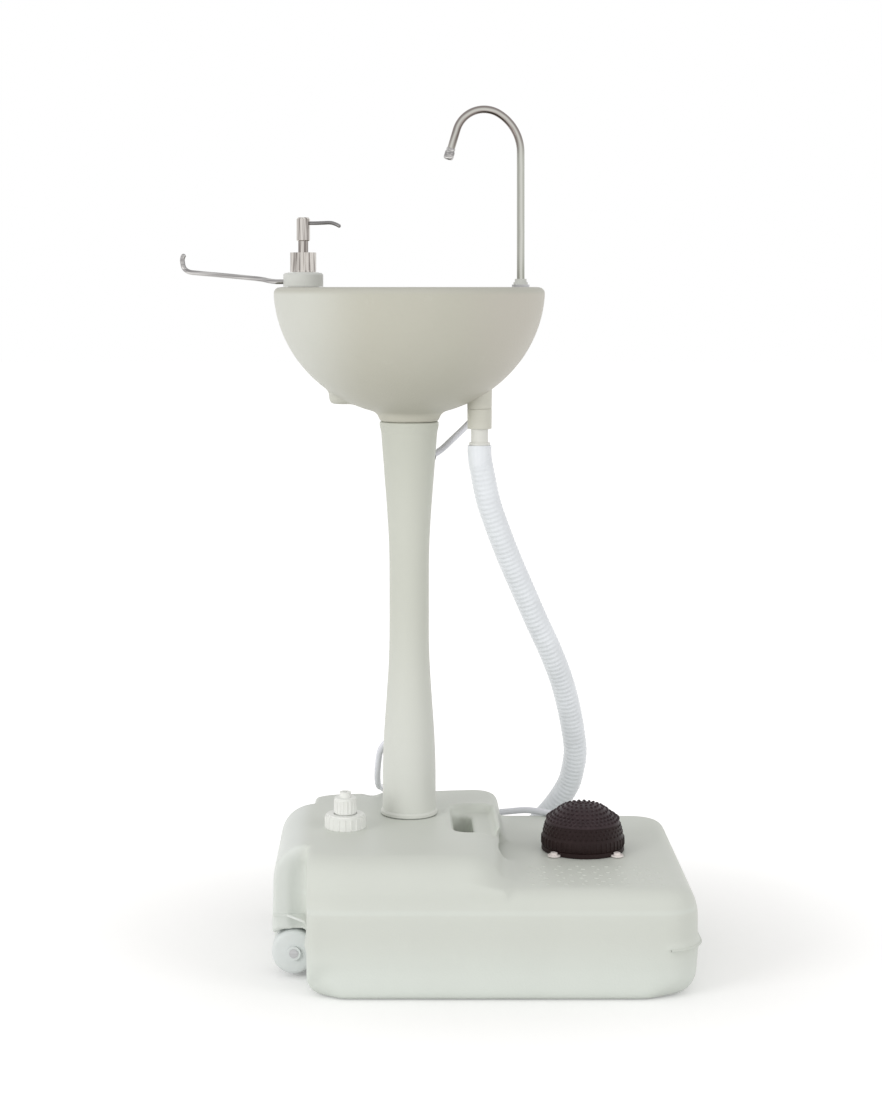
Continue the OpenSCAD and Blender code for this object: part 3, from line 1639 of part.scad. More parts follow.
tank_body();
filler_gasket();
filler_plug();
filler_ring();
vent_knob();
wheel_front();
wheel_rear();
wheel_axle();
axle_caps();
column();
upper_grommet();
lower_grommet();
basin();
drain_strainer();
drain_tailpiece();
drain_coupling();
drain_hose();
faucet_shank();
faucet_nut();
faucet_gland();
faucet_oring();
faucet_tube();
spout_tip();
supply_tube();
soap_neck();
soap_bottle();
soap_collar();
soap_pump_body();
soap_spring();
soap_dip_tube();
soap_stem();
soap_head();
soap_nozzle();
towel_collar();
towel_arm();
pump_base();
pump_gasket();
pump_screws();
pump_bellows();
pump_tread();
pump_spring();
pump_inlet_valve();
pump_intake_tube();
pump_intake_strainer();
pump_outlet();
pump_outlet_valve();
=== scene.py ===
"""Looks of a portable wash basin on its water tank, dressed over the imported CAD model."""

from math import acos, asin, atan, cos, pi, radians, sin

import bpy
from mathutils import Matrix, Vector
from mathutils.bvhtree import BVHTree


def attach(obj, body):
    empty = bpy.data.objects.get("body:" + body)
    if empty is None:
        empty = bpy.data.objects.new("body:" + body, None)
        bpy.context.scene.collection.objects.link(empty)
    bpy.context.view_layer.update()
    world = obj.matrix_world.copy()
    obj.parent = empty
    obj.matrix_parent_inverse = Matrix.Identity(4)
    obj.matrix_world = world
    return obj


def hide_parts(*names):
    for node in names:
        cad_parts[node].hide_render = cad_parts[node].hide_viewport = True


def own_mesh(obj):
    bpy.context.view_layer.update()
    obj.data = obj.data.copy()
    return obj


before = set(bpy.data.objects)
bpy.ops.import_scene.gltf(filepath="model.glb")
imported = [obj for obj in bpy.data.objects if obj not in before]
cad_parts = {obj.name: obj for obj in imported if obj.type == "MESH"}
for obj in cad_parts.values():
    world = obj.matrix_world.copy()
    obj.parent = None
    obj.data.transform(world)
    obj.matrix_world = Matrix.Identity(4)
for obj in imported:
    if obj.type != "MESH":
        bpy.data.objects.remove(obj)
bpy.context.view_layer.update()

MM = 0.001
TINY = 1e-5    # metres within which points are merged
SOAP, FAUCET, DRAIN, FILLER, PUMP = (-130, 0), (136.8, 0), (86, -8), (-77, -73), (209, -43)    # in plan, mm
TANK_MIRROR = -99    # mm that y of a point at the tank's front and y of its twin at the back add up to

# Camera, as the photograph was taken: level with the rim, 2.6 m in front of the column

SENSOR = 36    # mm
# In pixels of the photograph: its size, the focal length and the spot straight ahead of the camera
PHOTO, FOCAL, AHEAD = (882, 1108), 2145, (388, 287)

scene = bpy.context.scene
camera_data = bpy.data.cameras.new("camera")
camera = bpy.data.objects.new("camera", camera_data)
scene.collection.objects.link(camera)
camera.location = (-0.026, -2.632, 0.800)
camera.rotation_euler = (pi / 2, 0, 0)
camera_data.sensor_width = SENSOR
camera_data.lens = SENSOR * FOCAL / PHOTO[1]
camera_data.shift_x = (PHOTO[0] / 2 - AHEAD[0]) / PHOTO[1]
camera_data.shift_y = -(PHOTO[1] / 2 - AHEAD[1]) / PHOTO[1]
camera_data.clip_start = 0.05
camera_data.clip_end = 100
scene.camera = camera
scene.view_settings.view_transform = "Standard"


# Modelling helpers

def deselect():
    """Nothing stays selected or active in object mode."""
    if bpy.context.object and bpy.context.object.mode != "OBJECT":
        bpy.ops.object.mode_set(mode="OBJECT")
    bpy.ops.object.select_all(action="DESELECT")


def pick(piece):
    """Only this piece is selected, and it is active."""
    deselect()
    piece.select_set(True)
    bpy.context.view_layer.objects.active = piece
    return piece


def added(name):
    """The piece that an operator has just added, under its own name."""
    piece = bpy.context.object
    piece.name = piece.data.name = name
    return piece


def edit(piece, *steps):
    """Runs operators on all of a piece in edit mode: each step is (operator, its options)."""
    pick(piece)
    bpy.ops.object.mode_set(mode="EDIT")
    for operator, options in steps:
        bpy.ops.mesh.select_all(action="SELECT")
        operator(**options)
    bpy.ops.object.mode_set(mode="OBJECT")
    return piece


def modify(piece, kind, **settings):
    """Adds a modifier and applies it."""
    pick(piece)
    modifier = piece.modifiers.new(kind.lower(), kind)
    for key, value in settings.items():
        setattr(modifier, key, value)
    bpy.ops.object.modifier_apply(modifier=modifier.name)
    return piece


def place(piece):
    """The piece's place goes into its mesh, and its object is left at the origin."""
    pick(piece)
    bpy.ops.object.transform_apply(location=True, rotation=True, scale=True)
    return piece


def smooth(piece, angle=35):
    """Shades smooth, but for edges sharper than the angle in degrees."""
    pick(piece)
    bpy.ops.object.shade_smooth_by_angle(angle=radians(angle))
    return piece


def joined(name, pieces):
    """Several finished pieces made one."""
    deselect()
    for piece in pieces:
        piece.select_set(True)
    bpy.context.view_layer.objects.active = pieces[0]
    bpy.ops.object.join()
    return added(name)


def copied(piece, name):
    """A copy with its own mesh."""
    twin = piece.copy()
    twin.data = piece.data.copy()
    twin.name = twin.data.name = name
    for collection in piece.users_collection:
        collection.objects.link(twin)
    return twin


def cad_copy(node, name):
    """A merged copy of a CAD node's mesh, free of its body."""
    piece = copied(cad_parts[node], name)
    piece.parent = None
    for key in list(piece.keys()):
        del piece[key]
    edit(piece, (bpy.ops.mesh.remove_doubles, {"threshold": TINY}))
    return piece


def dress(piece, finish, body, slot, *nodes):
    """Gives a piece its finish and body, and hides the CAD nodes it stands for. The slot is not used."""
    piece.data.materials.clear()
    piece.data.materials.append(finish)
    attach(piece, body)
    if nodes:
        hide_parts(*nodes)
    return piece


# Pieces from rings of points

def full_turn(steps):
    """Angles of equal steps once round."""
    return [2 * pi * k / steps for k in range(steps)]


def from_points(name, points, faces=(), edges=()):
    """A piece from its points and faces, with its normals outward."""
    mesh = bpy.data.meshes.new(name)
    mesh.from_pydata([tuple(p) for p in points], edges, faces)
    mesh.update()
    piece = bpy.data.objects.new(name, mesh)
    scene.collection.objects.link(piece)
    if faces:
        edit(piece, (bpy.ops.mesh.normals_make_consistent, {"inside": False}))
    return piece


def ring_walls(count, size, loop=False):
    """Faces between count rings of size points each. A loop also joins the last ring to the first."""
    return [[i * size + k, i * size + (k + 1) % size, (i + 1) % count * size + (k + 1) % size,
             (i + 1) % count * size + k] for i in range(count if loop else count - 1) for k in range(size)]


def lofted(name, rings):
    """A closed piece through rings of as many points each, in mm."""
    size = len(rings[0])
    faces = ring_walls(len(rings), size)
    faces += [list(range(size)), [(len(rings) - 1) * size + k for k in range(size)]]
    return from_points(name, [Vector(p) * MM for ring in rings for p in ring], faces)


# Routes and tubes of the cords, wires and springs

def smooth_route(points, steps):
    """A Catmull-Rom line through the points, as in the part's source."""
    line, last = [], len(points) - 1
    for i in range(last):
        a, b, c, d = (Vector(points[k]) for k in (max(i - 1, 0), i, i + 1, min(i + 2, last)))
        for k in range(steps):
            t = k / steps
            line.append(0.5 * (2 * b + (c - a) * t + (2 * a - 5 * b + 4 * c - d) * t * t
                               + (3 * b - a - 3 * c + d) * t ** 3))
    line.append(Vector(points[-1]))
    return line


def even_route(line, count):
    """The line again, in count equal steps."""
    reach = [0.0]
    for a, b in zip(line, line[1:]):
        reach.append(reach[-1] + (b - a).length)
    points, k = [], 0
    for i in range(count + 1):
        want = reach[-1] * i / count
        while k < len(line) - 2 and reach[k + 1] < want:
            k += 1
        span = max(reach[k + 1] - reach[k], 1e-9)
        points.append(line[k].lerp(line[k + 1], min(1, (want - reach[k]) / span)))
    return points


def route_length(line):
    """Length of the line in metres."""
    return sum((b - a).length for a, b in zip(line, line[1:]))


def route_rings(centres, radii, sides, start):
    """Rings of points round a line, carried along it without twist."""
    rings, normal = [], Vector(start)
    for i, centre in enumerate(centres):
        along = (centres[min(i + 1, len(centres) - 1)] - centres[max(i - 1, 0)]).normalized()
        normal = (normal - along * normal.dot(along)).normalized()
        other = along.cross(normal)
        rings.append([centre + radii[i] * (cos(turn) * normal + sin(turn) * other)
                      for turn in full_turn(sides)])
    return rings


def route_tube(name, centres, radii, sides, start=(0, 1, 0), bore=0.0):
    """A tube along a line. With a bore it is hollow and open, and otherwise it has closed ends."""
    rings = route_rings(centres, radii, sides, start)
    if bore:
        coarse = [*centres[:-1:4], centres[-1]]
        rings += route_rings(coarse, [bore] * len(coarse), sides, start)[::-1]
        faces = ring_walls(len(rings), sides, loop=True)
    else:
        faces = ring_walls(len(rings), sides)
        faces += [list(range(sides))[::-1], [(len(rings) - 1) * sides + k for k in range(sides)]]
    return smooth(from_points(name, [p for ring in rings for p in ring], faces), 60)


def metres(points):
    """Points in mm as vectors in metres."""
    return [Vector(p) * MM for p in points]


# Turned, studded and moulded pieces

def turned(name, outline, at=(0, 0, 0), turn=(0, 0, 0), sides=64):
    """A piece turned about Z from its outline of (radius, height) in mm, then turned and put in place."""
    points = [(r * MM, 0, z * MM) for r, z in outline]
    piece = from_points(name, points, edges=[(i, i + 1) for i in range(len(points) - 1)])
    edit(piece,
         (bpy.ops.mesh.spin, {"steps": sides, "angle": 2 * pi, "center": (0, 0, 0), "axis": (0, 0, 1)}),
         (bpy.ops.mesh.remove_doubles, {"threshold": TINY}),
         (bpy.ops.mesh.normals_make_consistent, {"inside": False}))
    piece.location = Vector(at) * MM
    piece.rotation_euler = turn
    return smooth(place(piece))


def arc(x, y, r, start, end, steps):
    """Points of an arc in plan, angles in degrees."""
    return [(x + r * cos(radians(start + (end - start) * k / steps)),
             y + r * sin(radians(start + (end - start) * k / steps))) for k in range(steps + 1)]


def studs(name, spots, sides=6):
    """Low rounded studs in one piece: each spot is (centre, outward direction, radius, height) in mm."""
    points, faces = [], []
    for centre, out, radius, height in spots:
        out = Vector(out).normalized()
        side = Vector((-out.y, out.x, 0)) if out.xy.length > 0.01 else Vector((1, 0, 0))
        side.normalize()
        other = out.cross(side)
        first = len(points)
        for level, share in ((-0.8, 1.0), (0.45, 0.9), (0.9, 0.55)):
            points += [(Vector(centre) + out * height * level
                        + radius * share * (cos(turn) * side + sin(turn) * other)) * MM
                       for turn in full_turn(sides)]
        points.append((Vector(centre) + out * height) * MM)
        faces += [[first + k for k in face] for face in ring_walls(3, sides)]
        crown = first + 2 * sides
        faces += [[crown + k, crown + (k + 1) % sides, first + 3 * sides] for k in range(sides)]
        faces.append([first + k for k in range(sides)][::-1])
    return smooth(from_points(name, points, faces), 70)


# The 26 ways out of a point, along the axes, edges and corners of a cube
OUTLOOK = [Vector((x, y, z)).normalized() for x in (-1, 0, 1) for y in (-1, 0, 1) for z in (-1, 0, 1)
           if (x, y, z) != (0, 0, 0)]


def melted(piece, voxel, passes):
    """The piece with one even skin, redrawn with faces of a voxel's size in metres and smoothed."""
    modify(piece, "REMESH", mode="VOXEL", voxel_size=voxel, use_smooth_shade=True)
    modify(piece, "SMOOTH", factor=0.5, iterations=passes)
    return piece


def moulded_skin(node, name, plugs, voxel, passes, extras=()):
    """The outside of a hollow moulding as one soft skin: walls that can't be seen from outside go, openings
    are closed at the plugs (x, y, z, radius in mm), and the rest is melted into one with the extras."""
    piece = cad_copy(node, name)
    mesh = piece.data
    points = [vertex.co.copy() for vertex in mesh.vertices]
    panes = [list(polygon.vertices) for polygon in mesh.polygons]
    for x, y, z, r in plugs:
        panes.append(list(range(len(points), len(points) + 24)))
        points += [Vector((x + r * cos(pi * k / 12), y + r * sin(pi * k / 12), z)) * MM for k in range(24)]
    walls = BVHTree.FromPolygons(points, panes)
    pick(piece)
    bpy.ops.object.mode_set(mode="EDIT")
    bpy.ops.mesh.select_mode(type="FACE")
    bpy.ops.mesh.select_all(action="DESELECT")
    bpy.ops.object.mode_set(mode="OBJECT")
    for polygon in mesh.polygons:
        spot = polygon.center + polygon.normal * 0.0001
        polygon.select = not any(polygon.normal.dot(way) > 0.05 and walls.ray_cast(spot, way)[0] is None
                                 for way in OUTLOOK)
    bpy.ops.object.mode_set(mode="EDIT")
    bpy.ops.mesh.delete(type="FACE")
    bpy.ops.mesh.select_mode(type="VERT")
    bpy.ops.object.mode_set(mode="OBJECT")
    edit(piece, (bpy.ops.mesh.delete_loose, {}), (bpy.ops.mesh.fill_holes, {"sides": 0}),
         (bpy.ops.mesh.normals_make_consistent, {"inside": False}))
    return melted(joined(name, [piece, *extras]), voxel, passes)


# Stage: a pale floor, greyer round the object, and soft studio light

def lit_for_camera(tree, plain, shown):
    """Mixes in what camera, glossy and transmission rays see of the background."""
    rays = tree.nodes.new("ShaderNodeLightPath")
    first = tree.nodes.new("ShaderNodeMath")
    second = tree.nodes.new("ShaderNodeMath")
    first.operation = second.operation = "MAXIMUM"
    mix = tree.nodes.new("ShaderNodeMixShader")
    tree.links.new(rays.outputs["Is Camera Ray"], first.inputs[0])
    tree.links.new(rays.outputs["Is Glossy Ray"], first.inputs[1])
    tree.links.new(first.outputs[0], second.inputs[0])
    tree.links.new(rays.outputs["Is Transmission Ray"], second.inputs[1])
    tree.links.new(second.outputs[0], mix.inputs[0])
    tree.links.new(plain.outputs[0], mix.inputs[1])
    tree.links.new(shown.outputs[0], mix.inputs[2])
    return mix


world = bpy.data.worlds.new("studio")
scene.world = world
world.use_nodes = True
sky = world.node_tree
sky.nodes.clear()
room, paper = sky.nodes.new("ShaderNodeBackground"), sky.nodes.new("ShaderNodeBackground")
room.inputs["Color"].default_value = (1.0, 0.99, 0.975, 1)
room.inputs["Strength"].default_value = 0.66
paper.inputs["Strength"].default_value = 1.0
paper.inputs["Color"].default_value = (1, 1, 1, 1)
sky.links.new(lit_for_camera(sky, room, paper).outputs[0], sky.nodes.new("ShaderNodeOutputWorld").inputs[0])

deselect()
bpy.ops.mesh.primitive_plane_add(size=40, location=(0, 0, 0))
floor = added("floor")
floor_look = bpy.data.materials.new("floor_paper")
floor_look.use_nodes = True
floor_tree = floor_look.node_tree
floor_tree.nodes.clear()
mat_sheet, lit_sheet = (floor_tree.nodes.new("ShaderNodeBsdfDiffuse") for _ in range(2))
mat_sheet.inputs["Color"].default_value = (0.80, 0.80, 0.79, 1)
lit_sheet.inputs["Color"].default_value = (0.92, 0.92, 0.92, 1)
glow, both = floor_tree.nodes.new("ShaderNodeEmission"), floor_tree.nodes.new("ShaderNodeAddShader")
# Painted shade: the floor's glow is strong away from the object and fades to almost nothing near it, so the
# floor round and under the object stays grey besides the lamps' shadow
spread, ramp = floor_tree.nodes.new("ShaderNodeTexGradient"), floor_tree.nodes.new("ShaderNodeMix")
spread.gradient_type, ramp.data_type = "SPHERICAL", "RGBA"
ramp.inputs[6].default_value, ramp.inputs[7].default_value = (0.52, 0.52, 0.52, 1), (0.02, 0.02, 0.02, 1)
under_object = floor_tree.nodes.new("ShaderNodeMapping")
under_object.inputs["Location"].default_value = (-0.10, 0.06, 0)
under_object.inputs["Scale"].default_value = (1.15, 1.4, 1)
spot_on_floor = floor_tree.nodes.new("ShaderNodeTexCoord").outputs["Object"]
floor_tree.links.new(spot_on_floor, under_object.inputs["Vector"])
floor_tree.links.new(under_object.outputs[0], spread.inputs[0])
floor_tree.links.new(spread.outputs["Fac"], ramp.inputs[0])
floor_tree.links.new(ramp.outputs[2], glow.inputs["Color"])
floor_tree.links.new(lit_sheet.outputs[0], both.inputs[0])
floor_tree.links.new(glow.outputs[0], both.inputs[1])
floor_tree.links.new(lit_for_camera(floor_tree, mat_sheet, both).outputs[0],
                     floor_tree.nodes.new("ShaderNodeOutputMaterial").inputs[0])
floor.data.materials.append(floor_look)


def softbox(name, at, aim, size, power):
    """A square white lamp in metres and watts, which shows in no reflection."""
    lamp = bpy.data.lights.new(name, "AREA")
    lamp.shape = "SQUARE"
    lamp.size = size
    lamp.energy = power
    holder = bpy.data.objects.new(name, lamp)
    scene.collection.objects.link(holder)
    holder.location = at
    holder.visible_glossy = False
    holder.rotation_euler = (Vector(aim) - Vector(at)).to_track_quat("-Z", "Y").to_euler()


softbox("key_softbox", (-2.5, -2.3, 1.15), (0, 0, 0.45), 1.6, 44)
softbox("fill_softbox", (2.5, -2.0, 1.1), (0, 0, 0.5), 1.4, 20)


# Finishes: shader maths written as Python

class Val:
    """A number socket that works in arithmetic, adding its Math nodes."""

    def __init__(self, tree, socket):
        self.tree, self.socket = tree, socket

    def maths(self, operation, *parts):
        node = self.tree.nodes.new("ShaderNodeMath")
        node.operation = operation
        for i, part in enumerate(parts):
            if isinstance(part, Val):
                self.tree.links.new(part.socket, node.inputs[i])
            else:
                node.inputs[i].default_value = part
        return Val(self.tree, node.outputs[0])

    def __add__(self, other):
        return self.maths("ADD", self, other)

    def __radd__(self, other):
        return self.maths("ADD", other, self)

    def __sub__(self, other):
        return self.maths("SUBTRACT", self, other)

    def __rsub__(self, other):
        return self.maths("SUBTRACT", other, self)

    def __mul__(self, other):
        return self.maths("MULTIPLY", self, other)

    def __rmul__(self, other):
        return self.maths("MULTIPLY", other, self)

    def __pow__(self, other):
        return self.maths("POWER", self, other)

    def at_least(self, low):
        return self.maths("MAXIMUM", self, low)

    def between(self, low, high):
        """0 below low, 1 above high, smooth between them."""
        node = self.tree.nodes.new("ShaderNodeMapRange")
        node.interpolation_type = "SMOOTHSTEP"
        node.inputs["From Min"].default_value = low
        node.inputs["From Max"].default_value = high
        self.tree.links.new(self.socket, node.inputs["Value"])
        return Val(self.tree, node.outputs["Result"])


class Finish:
    """A material under construction: one shader, fed by nodes on Object coordinates."""

    def __init__(self, name, colour, **fixed):
        self.material = bpy.data.materials.new(name)
        self.material.use_nodes = True
        self.tree = self.material.node_tree
        self.tree.nodes.clear()
        self.shader = self.tree.nodes.new("ShaderNodeBsdfPrincipled")
        output = self.tree.nodes.new("ShaderNodeOutputMaterial")
        self.tree.links.new(self.shader.outputs[0], output.inputs["Surface"])
        self.shader.inputs["Base Color"].default_value = (*colour, 1)
        for key, value in fixed.items():
            self.shader.inputs[key.replace("_", " ")].default_value = value
        self.place = self.node("ShaderNodeTexCoord").outputs["Object"]

    def node(self, kind, settings=None, links=None):
        """Any node: its settings first, then its sockets' values and links."""
        node = self.tree.nodes.new(kind)
        for key, value in (settings or {}).items():
            setattr(node, key, value)
        for key, value in (links or {}).items():
            if isinstance(value, Val):
                self.tree.links.new(value.socket, node.inputs[key])
            elif isinstance(value, bpy.types.NodeSocket):
                self.tree.links.new(value, node.inputs[key])
            else:
                node.inputs[key].default_value = value
        return node

    def value(self, socket):
        return Val(self.tree, socket)

    def stretched(self, scale):
        """Object coordinates, stretched along the axes."""
        return self.node("ShaderNodeMapping", links={"Vector": self.place, "Scale": scale}).outputs[0]

    def noise(self, scale, detail, roughness, vector=None):
        made = self.node("ShaderNodeTexNoise", links={
            "Vector": vector or self.place, "Scale": scale, "Detail": detail, "Roughness": roughness})
        return self.value(made.outputs["Fac"])

    def axis(self, name):
        return self.value(self.node("ShaderNodeSeparateXYZ", links={"Vector": self.place}).outputs[name])

    def mixed(self, mask, under, over):
        """Colour over where the mask is 1, colour under where it is 0."""
        made = self.node("ShaderNodeMix", {"data_type": "RGBA"}, {0: mask})
        for index, colour in ((6, under), (7, over)):
            if isinstance(colour, tuple):
                made.inputs[index].default_value = colour if len(colour) == 4 else (*colour, 1)
            else:
                self.tree.links.new(colour, made.inputs[index])
        return made.outputs[2]

    def colour(self, socket):
        self.tree.links.new(socket, self.shader.inputs["Base Color"])

    def rough(self, value):
        self.tree.links.new(value.socket, self.shader.inputs["Roughness"])

    def relief(self, *layers):
        """Bumps one on another: each layer is (height value, strength, distance in metres)."""
        normal = None
        for height, strength, distance in layers:
            links = {"Height": height, "Strength": strength, "Distance": distance}
            if normal:
                links["Normal"] = normal
            normal = self.node("ShaderNodeBump", links=links).outputs[0]
        self.tree.links.new(normal, self.shader.inputs["Normal"])


def shade(colour, factor):
    """The colour, brighter or darker by a factor."""
    return tuple(min(1.0, c * factor) for c in colour[:3]) + (1,)


def polyethylene(name, colour, pebble, painted_light=()):
    """Blow-moulded plastic: faint clouds of tone, orange peel, and a few soft scuffs. Each entry of
    painted_light is (axis, from, to, colour): painted light and shade, a colour that the wall turns to along
    that axis."""
    made = Finish(name, colour, Specular_IOR_Level=0.4)
    clouds = made.noise(7, 3, 0.55).between(0.3, 0.7)
    streaks = made.noise(1, 4, 0.6, made.stretched((9, 9, 2.2))).between(0.35, 0.75)
    scuffs = made.noise(1, 6, 0.72, made.stretched((34, 60, 22))).between(0.58, 0.72)
    tone_and_painted_light = colour
    # Painted light and shade: the wall turns lighter or darker along an axis, where light or shade falls
    for axis, start, end, over in painted_light:
        tone_and_painted_light = made.mixed(made.axis(axis).between(start, end), tone_and_painted_light, over)
    for mask, over in ((clouds * 0.045, shade(colour, 1.2)), (streaks * 0.08, shade(colour, 0.75)),
                       (scuffs * 0.08, shade(colour, 1.2))):
        tone_and_painted_light = made.mixed(mask, tone_and_painted_light, over)
    made.colour(tone_and_painted_light)
    made.rough(0.40 + 0.10 * clouds + 0.12 * scuffs)
    peel = made.noise(420, 2, 0.5)
    fine = made.noise(1500, 2, 0.6)
    dips = made.noise(16, 1, 0.4)
    made.relief((dips, 0.10, 0.004), (peel, pebble, 0.0006), (fine, 0.06, 0.0003))
    return made.material


def moulded(name, colour, gloss):
    """Injection-moulded white plastic with faint flow marks and handling marks."""
    made = Finish(name, colour)
    flow = made.noise(1, 3, 0.5, made.stretched((40, 40, 120))).between(0.35, 0.7)
    marks = made.noise(190, 5, 0.7).between(0.60, 0.75)
    made.colour(made.mixed(flow * 0.6, shade(colour, 1.0), shade(colour, 0.955)))
    made.rough(gloss + 0.10 * flow + 0.10 * marks)
    made.relief((made.noise(900, 2, 0.5), 0.08, 0.0003))
    return made.material


def plated(name, colour, painted_reflection_dark, along, blur):
    """Bright plating: painted reflections as darker stripes along the piece, smudges from hands and faint
    drawing lines.
    """
    made = Finish(name, colour, Metallic=1.0)
    smudge = made.noise(38, 3, 0.5).between(0.42, 0.68)
    # Painted reflection: darker stripes along the piece
    painted_reflection_bands = made.noise(1, 2, 0.5, made.stretched(along)).between(0.40, 0.60)
    tone = made.mixed(painted_reflection_bands, painted_reflection_dark, colour)
    made.colour(made.mixed(smudge * 0.3, tone, shade(colour, 0.8)))
    made.rough(blur + 0.07 * smudge)
    made.relief((made.noise(600, 2, 0.5), 0.02, 0.0001))
    return made.material


# The gooseneck in the plane of its bends: (x, z, radius) in mm of the long arc at the stem and of the tighter
# crown, the angle at which one runs into the other, and how far the straight end leans outward
LONG_ARC, CROWN_ARC, MEETING, LEAN = (80.6, 965, 56.2), (91.8, 983, 35), 2 * atan(10 / 18), radians(16.5)


def gooseneck_plating():
    """Bright plating of the gooseneck with painted reflections: a painted highlight and a painted dark streak
    that follow the tube, placed by the distance across it, and a darker crown and foot.
    """
    made = Finish("gooseneck_plating", (0.5, 0.5, 0.46), Metallic=1.0)
    x, z = made.axis("X"), made.axis("Z")
    (long_x, long_z, long_r), (crown_x, crown_z, crown_r) = ([mm * MM for mm in bend]
                                                             for bend in (LONG_ARC, CROWN_ARC))
    out, up = x - long_x, (z - long_z).at_least(0.0)
    stem = (out * out + up * up) ** 0.5 - long_r
    spout = (x - crown_x) * -cos(LEAN) + (z - crown_z) * sin(LEAN)
    beyond = ((x - crown_x) * sin(LEAN) + (z - crown_z) * cos(LEAN)).at_least(0.0)
    crown = (spout * spout + beyond * beyond) ** 0.5 - crown_r
    crowned = ((x - long_x) * -sin(MEETING) + (z - long_z) * cos(MEETING)).between(-0.0005, 0.0005)
    wander = made.noise(24, 2, 0.5) * 0.0026 - 0.0013
    off = stem + (crown - stem) * crowned + wander
    # Painted highlight and painted dark streak, at set distances across the tube
    painted_highlight = off.between(-0.0022, 0.0002) - off.between(0.0006, 0.0030)
    painted_dark_streak = off.between(-0.0046, -0.0034) - off.between(-0.0030, -0.0016)
    high = z.between(0.955, 0.990)
    low = 1.0 - z.between(0.805, 0.845)
    # Painted reflection: darker at the crown and near the foot
    tone = made.mixed(high, (0.46, 0.465, 0.42), (0.24, 0.21, 0.20))
    tone = made.mixed(low * 0.7, tone, (0.26, 0.265, 0.22))
    tone = made.mixed(painted_highlight * 0.75, tone, (0.68, 0.68, 0.63))
    tone = made.mixed(painted_dark_streak * (0.25 + 0.6 * high), tone, (0.13, 0.11, 0.10))
    made.colour(tone)
    made.rough(0.07 + 0.06 * made.noise(38, 3, 0.5).between(0.42, 0.68))
    made.relief((made.noise(600, 2, 0.5), 0.02, 0.0001))
    return made.material


def drawn_steel(name, colour, along):
    """Steel with fine lines along one axis."""
    made = Finish(name, colour, Metallic=1.0)
    lines = made.noise(1, 3, 0.6, made.stretched(along))
    stain = made.noise(90, 4, 0.6).between(0.45, 0.7)
    made.colour(made.mixed(lines.between(0.3, 0.7), shade(colour, 0.85), shade(colour, 1.1)))
    made.rough(0.26 + 0.12 * lines + 0.1 * stain)
    made.relief((lines, 0.12, 0.0002))
    return made.material


def rubber(name, colour, bloom, grain):
    """Soft rubber: pale bloom in patches, moulding grain."""
    made = Finish(name, colour, Specular_IOR_Level=0.2)
    patches = made.noise(60, 5, 0.65).between(0.42, 0.72)
    dust = made.noise(700, 3, 0.6).between(0.62, 0.75)
    tone = made.mixed(patches * bloom, colour, tuple(min(1, c * 1.5 + 0.010) for c in colour))
    made.colour(made.mixed(dust * 0.22, tone, tuple(min(1, c * 2.0 + 0.03) for c in colour)))
    made.rough(0.42 + 0.16 * patches)
    made.relief((made.noise(520, 3, 0.6), grain, 0.0005))
    return made.material


def milky(name, colour):
    """Translucent extruded tube: cloudier in places, faint lines."""
    made = Finish(name, colour)
    cloud = made.noise(28, 3, 0.55).between(0.35, 0.7)
    lines = made.noise(1, 2, 0.5, made.stretched((300, 300, 18)))
    tone = made.mixed(cloud, shade(colour, 0.96), shade(colour, 1.03))
    made.colour(made.mixed(lines.between(0.45, 0.75) * 0.25, tone, shade(colour, 0.92)))
    made.rough(0.24 + 0.12 * cloud)
    made.relief((made.noise(240, 2, 0.5), 0.08, 0.0004))
    return made.material


TANK_TONE = (0.655, 0.680, 0.630)
# Painted light on the tank: a lighter band at 95 to 104 mm is a painted highlight on the ledge, the wall
# turns lighter towards the bottom for light from the floor, and lighter left of x -114 mm for light falling
# on the left end
tank_look = polyethylene("tank_polyethylene", TANK_TONE, 0.20, [
    ("Z", 0.0950, 0.0980, (0.680, 0.712, 0.665)), ("Z", 0.0990, 0.1040, TANK_TONE),
    ("Z", 0.075, 0.02, (0.715, 0.755, 0.710)),
    ("X", -0.114, -0.136, (0.735, 0.765, 0.735))])
# Painted shade: the column darkens towards the top, in the shade of the basin
column_look = polyethylene("column_polyethylene", (0.690, 0.705, 0.660), 0.14, [
    ("Z", 0.20, 0.45, (0.602, 0.617, 0.553)), ("Z", 0.50, 0.62, (0.565, 0.580, 0.515))])
# Painted light and shade: the basin is lighter at the left, where the light falls, and darkest in the middle.
# It is darker on the rim above 796 mm: painted shade on its rounded edge
basin_look = polyethylene("basin_polyethylene", (0.620, 0.628, 0.575), 0.42, [
    ("X", -0.135, -0.045, (0.515, 0.507, 0.433)), ("X", 0.04, 0.13, (0.565, 0.540, 0.478)),
    ("Z", 0.790, 0.796, (0.505, 0.500, 0.440))])
white_look = moulded("white_cap_plastic", (0.83, 0.84, 0.81), 0.34)
wheel_look = moulded("wheel_plastic", (0.755, 0.79, 0.785), 0.5)
collar_look = moulded("towel_collar_plastic", (0.64, 0.65, 0.62), 0.4)
tail_look = moulded("tailpiece_plastic", (0.63, 0.624, 0.553), 0.4)
clip_look = moulded("clip_plastic", (0.84, 0.78, 0.76), 0.35)
coupling_look = moulded("coupling_plastic", (0.74, 0.74, 0.70), 0.36)
gooseneck_look = gooseneck_plating()
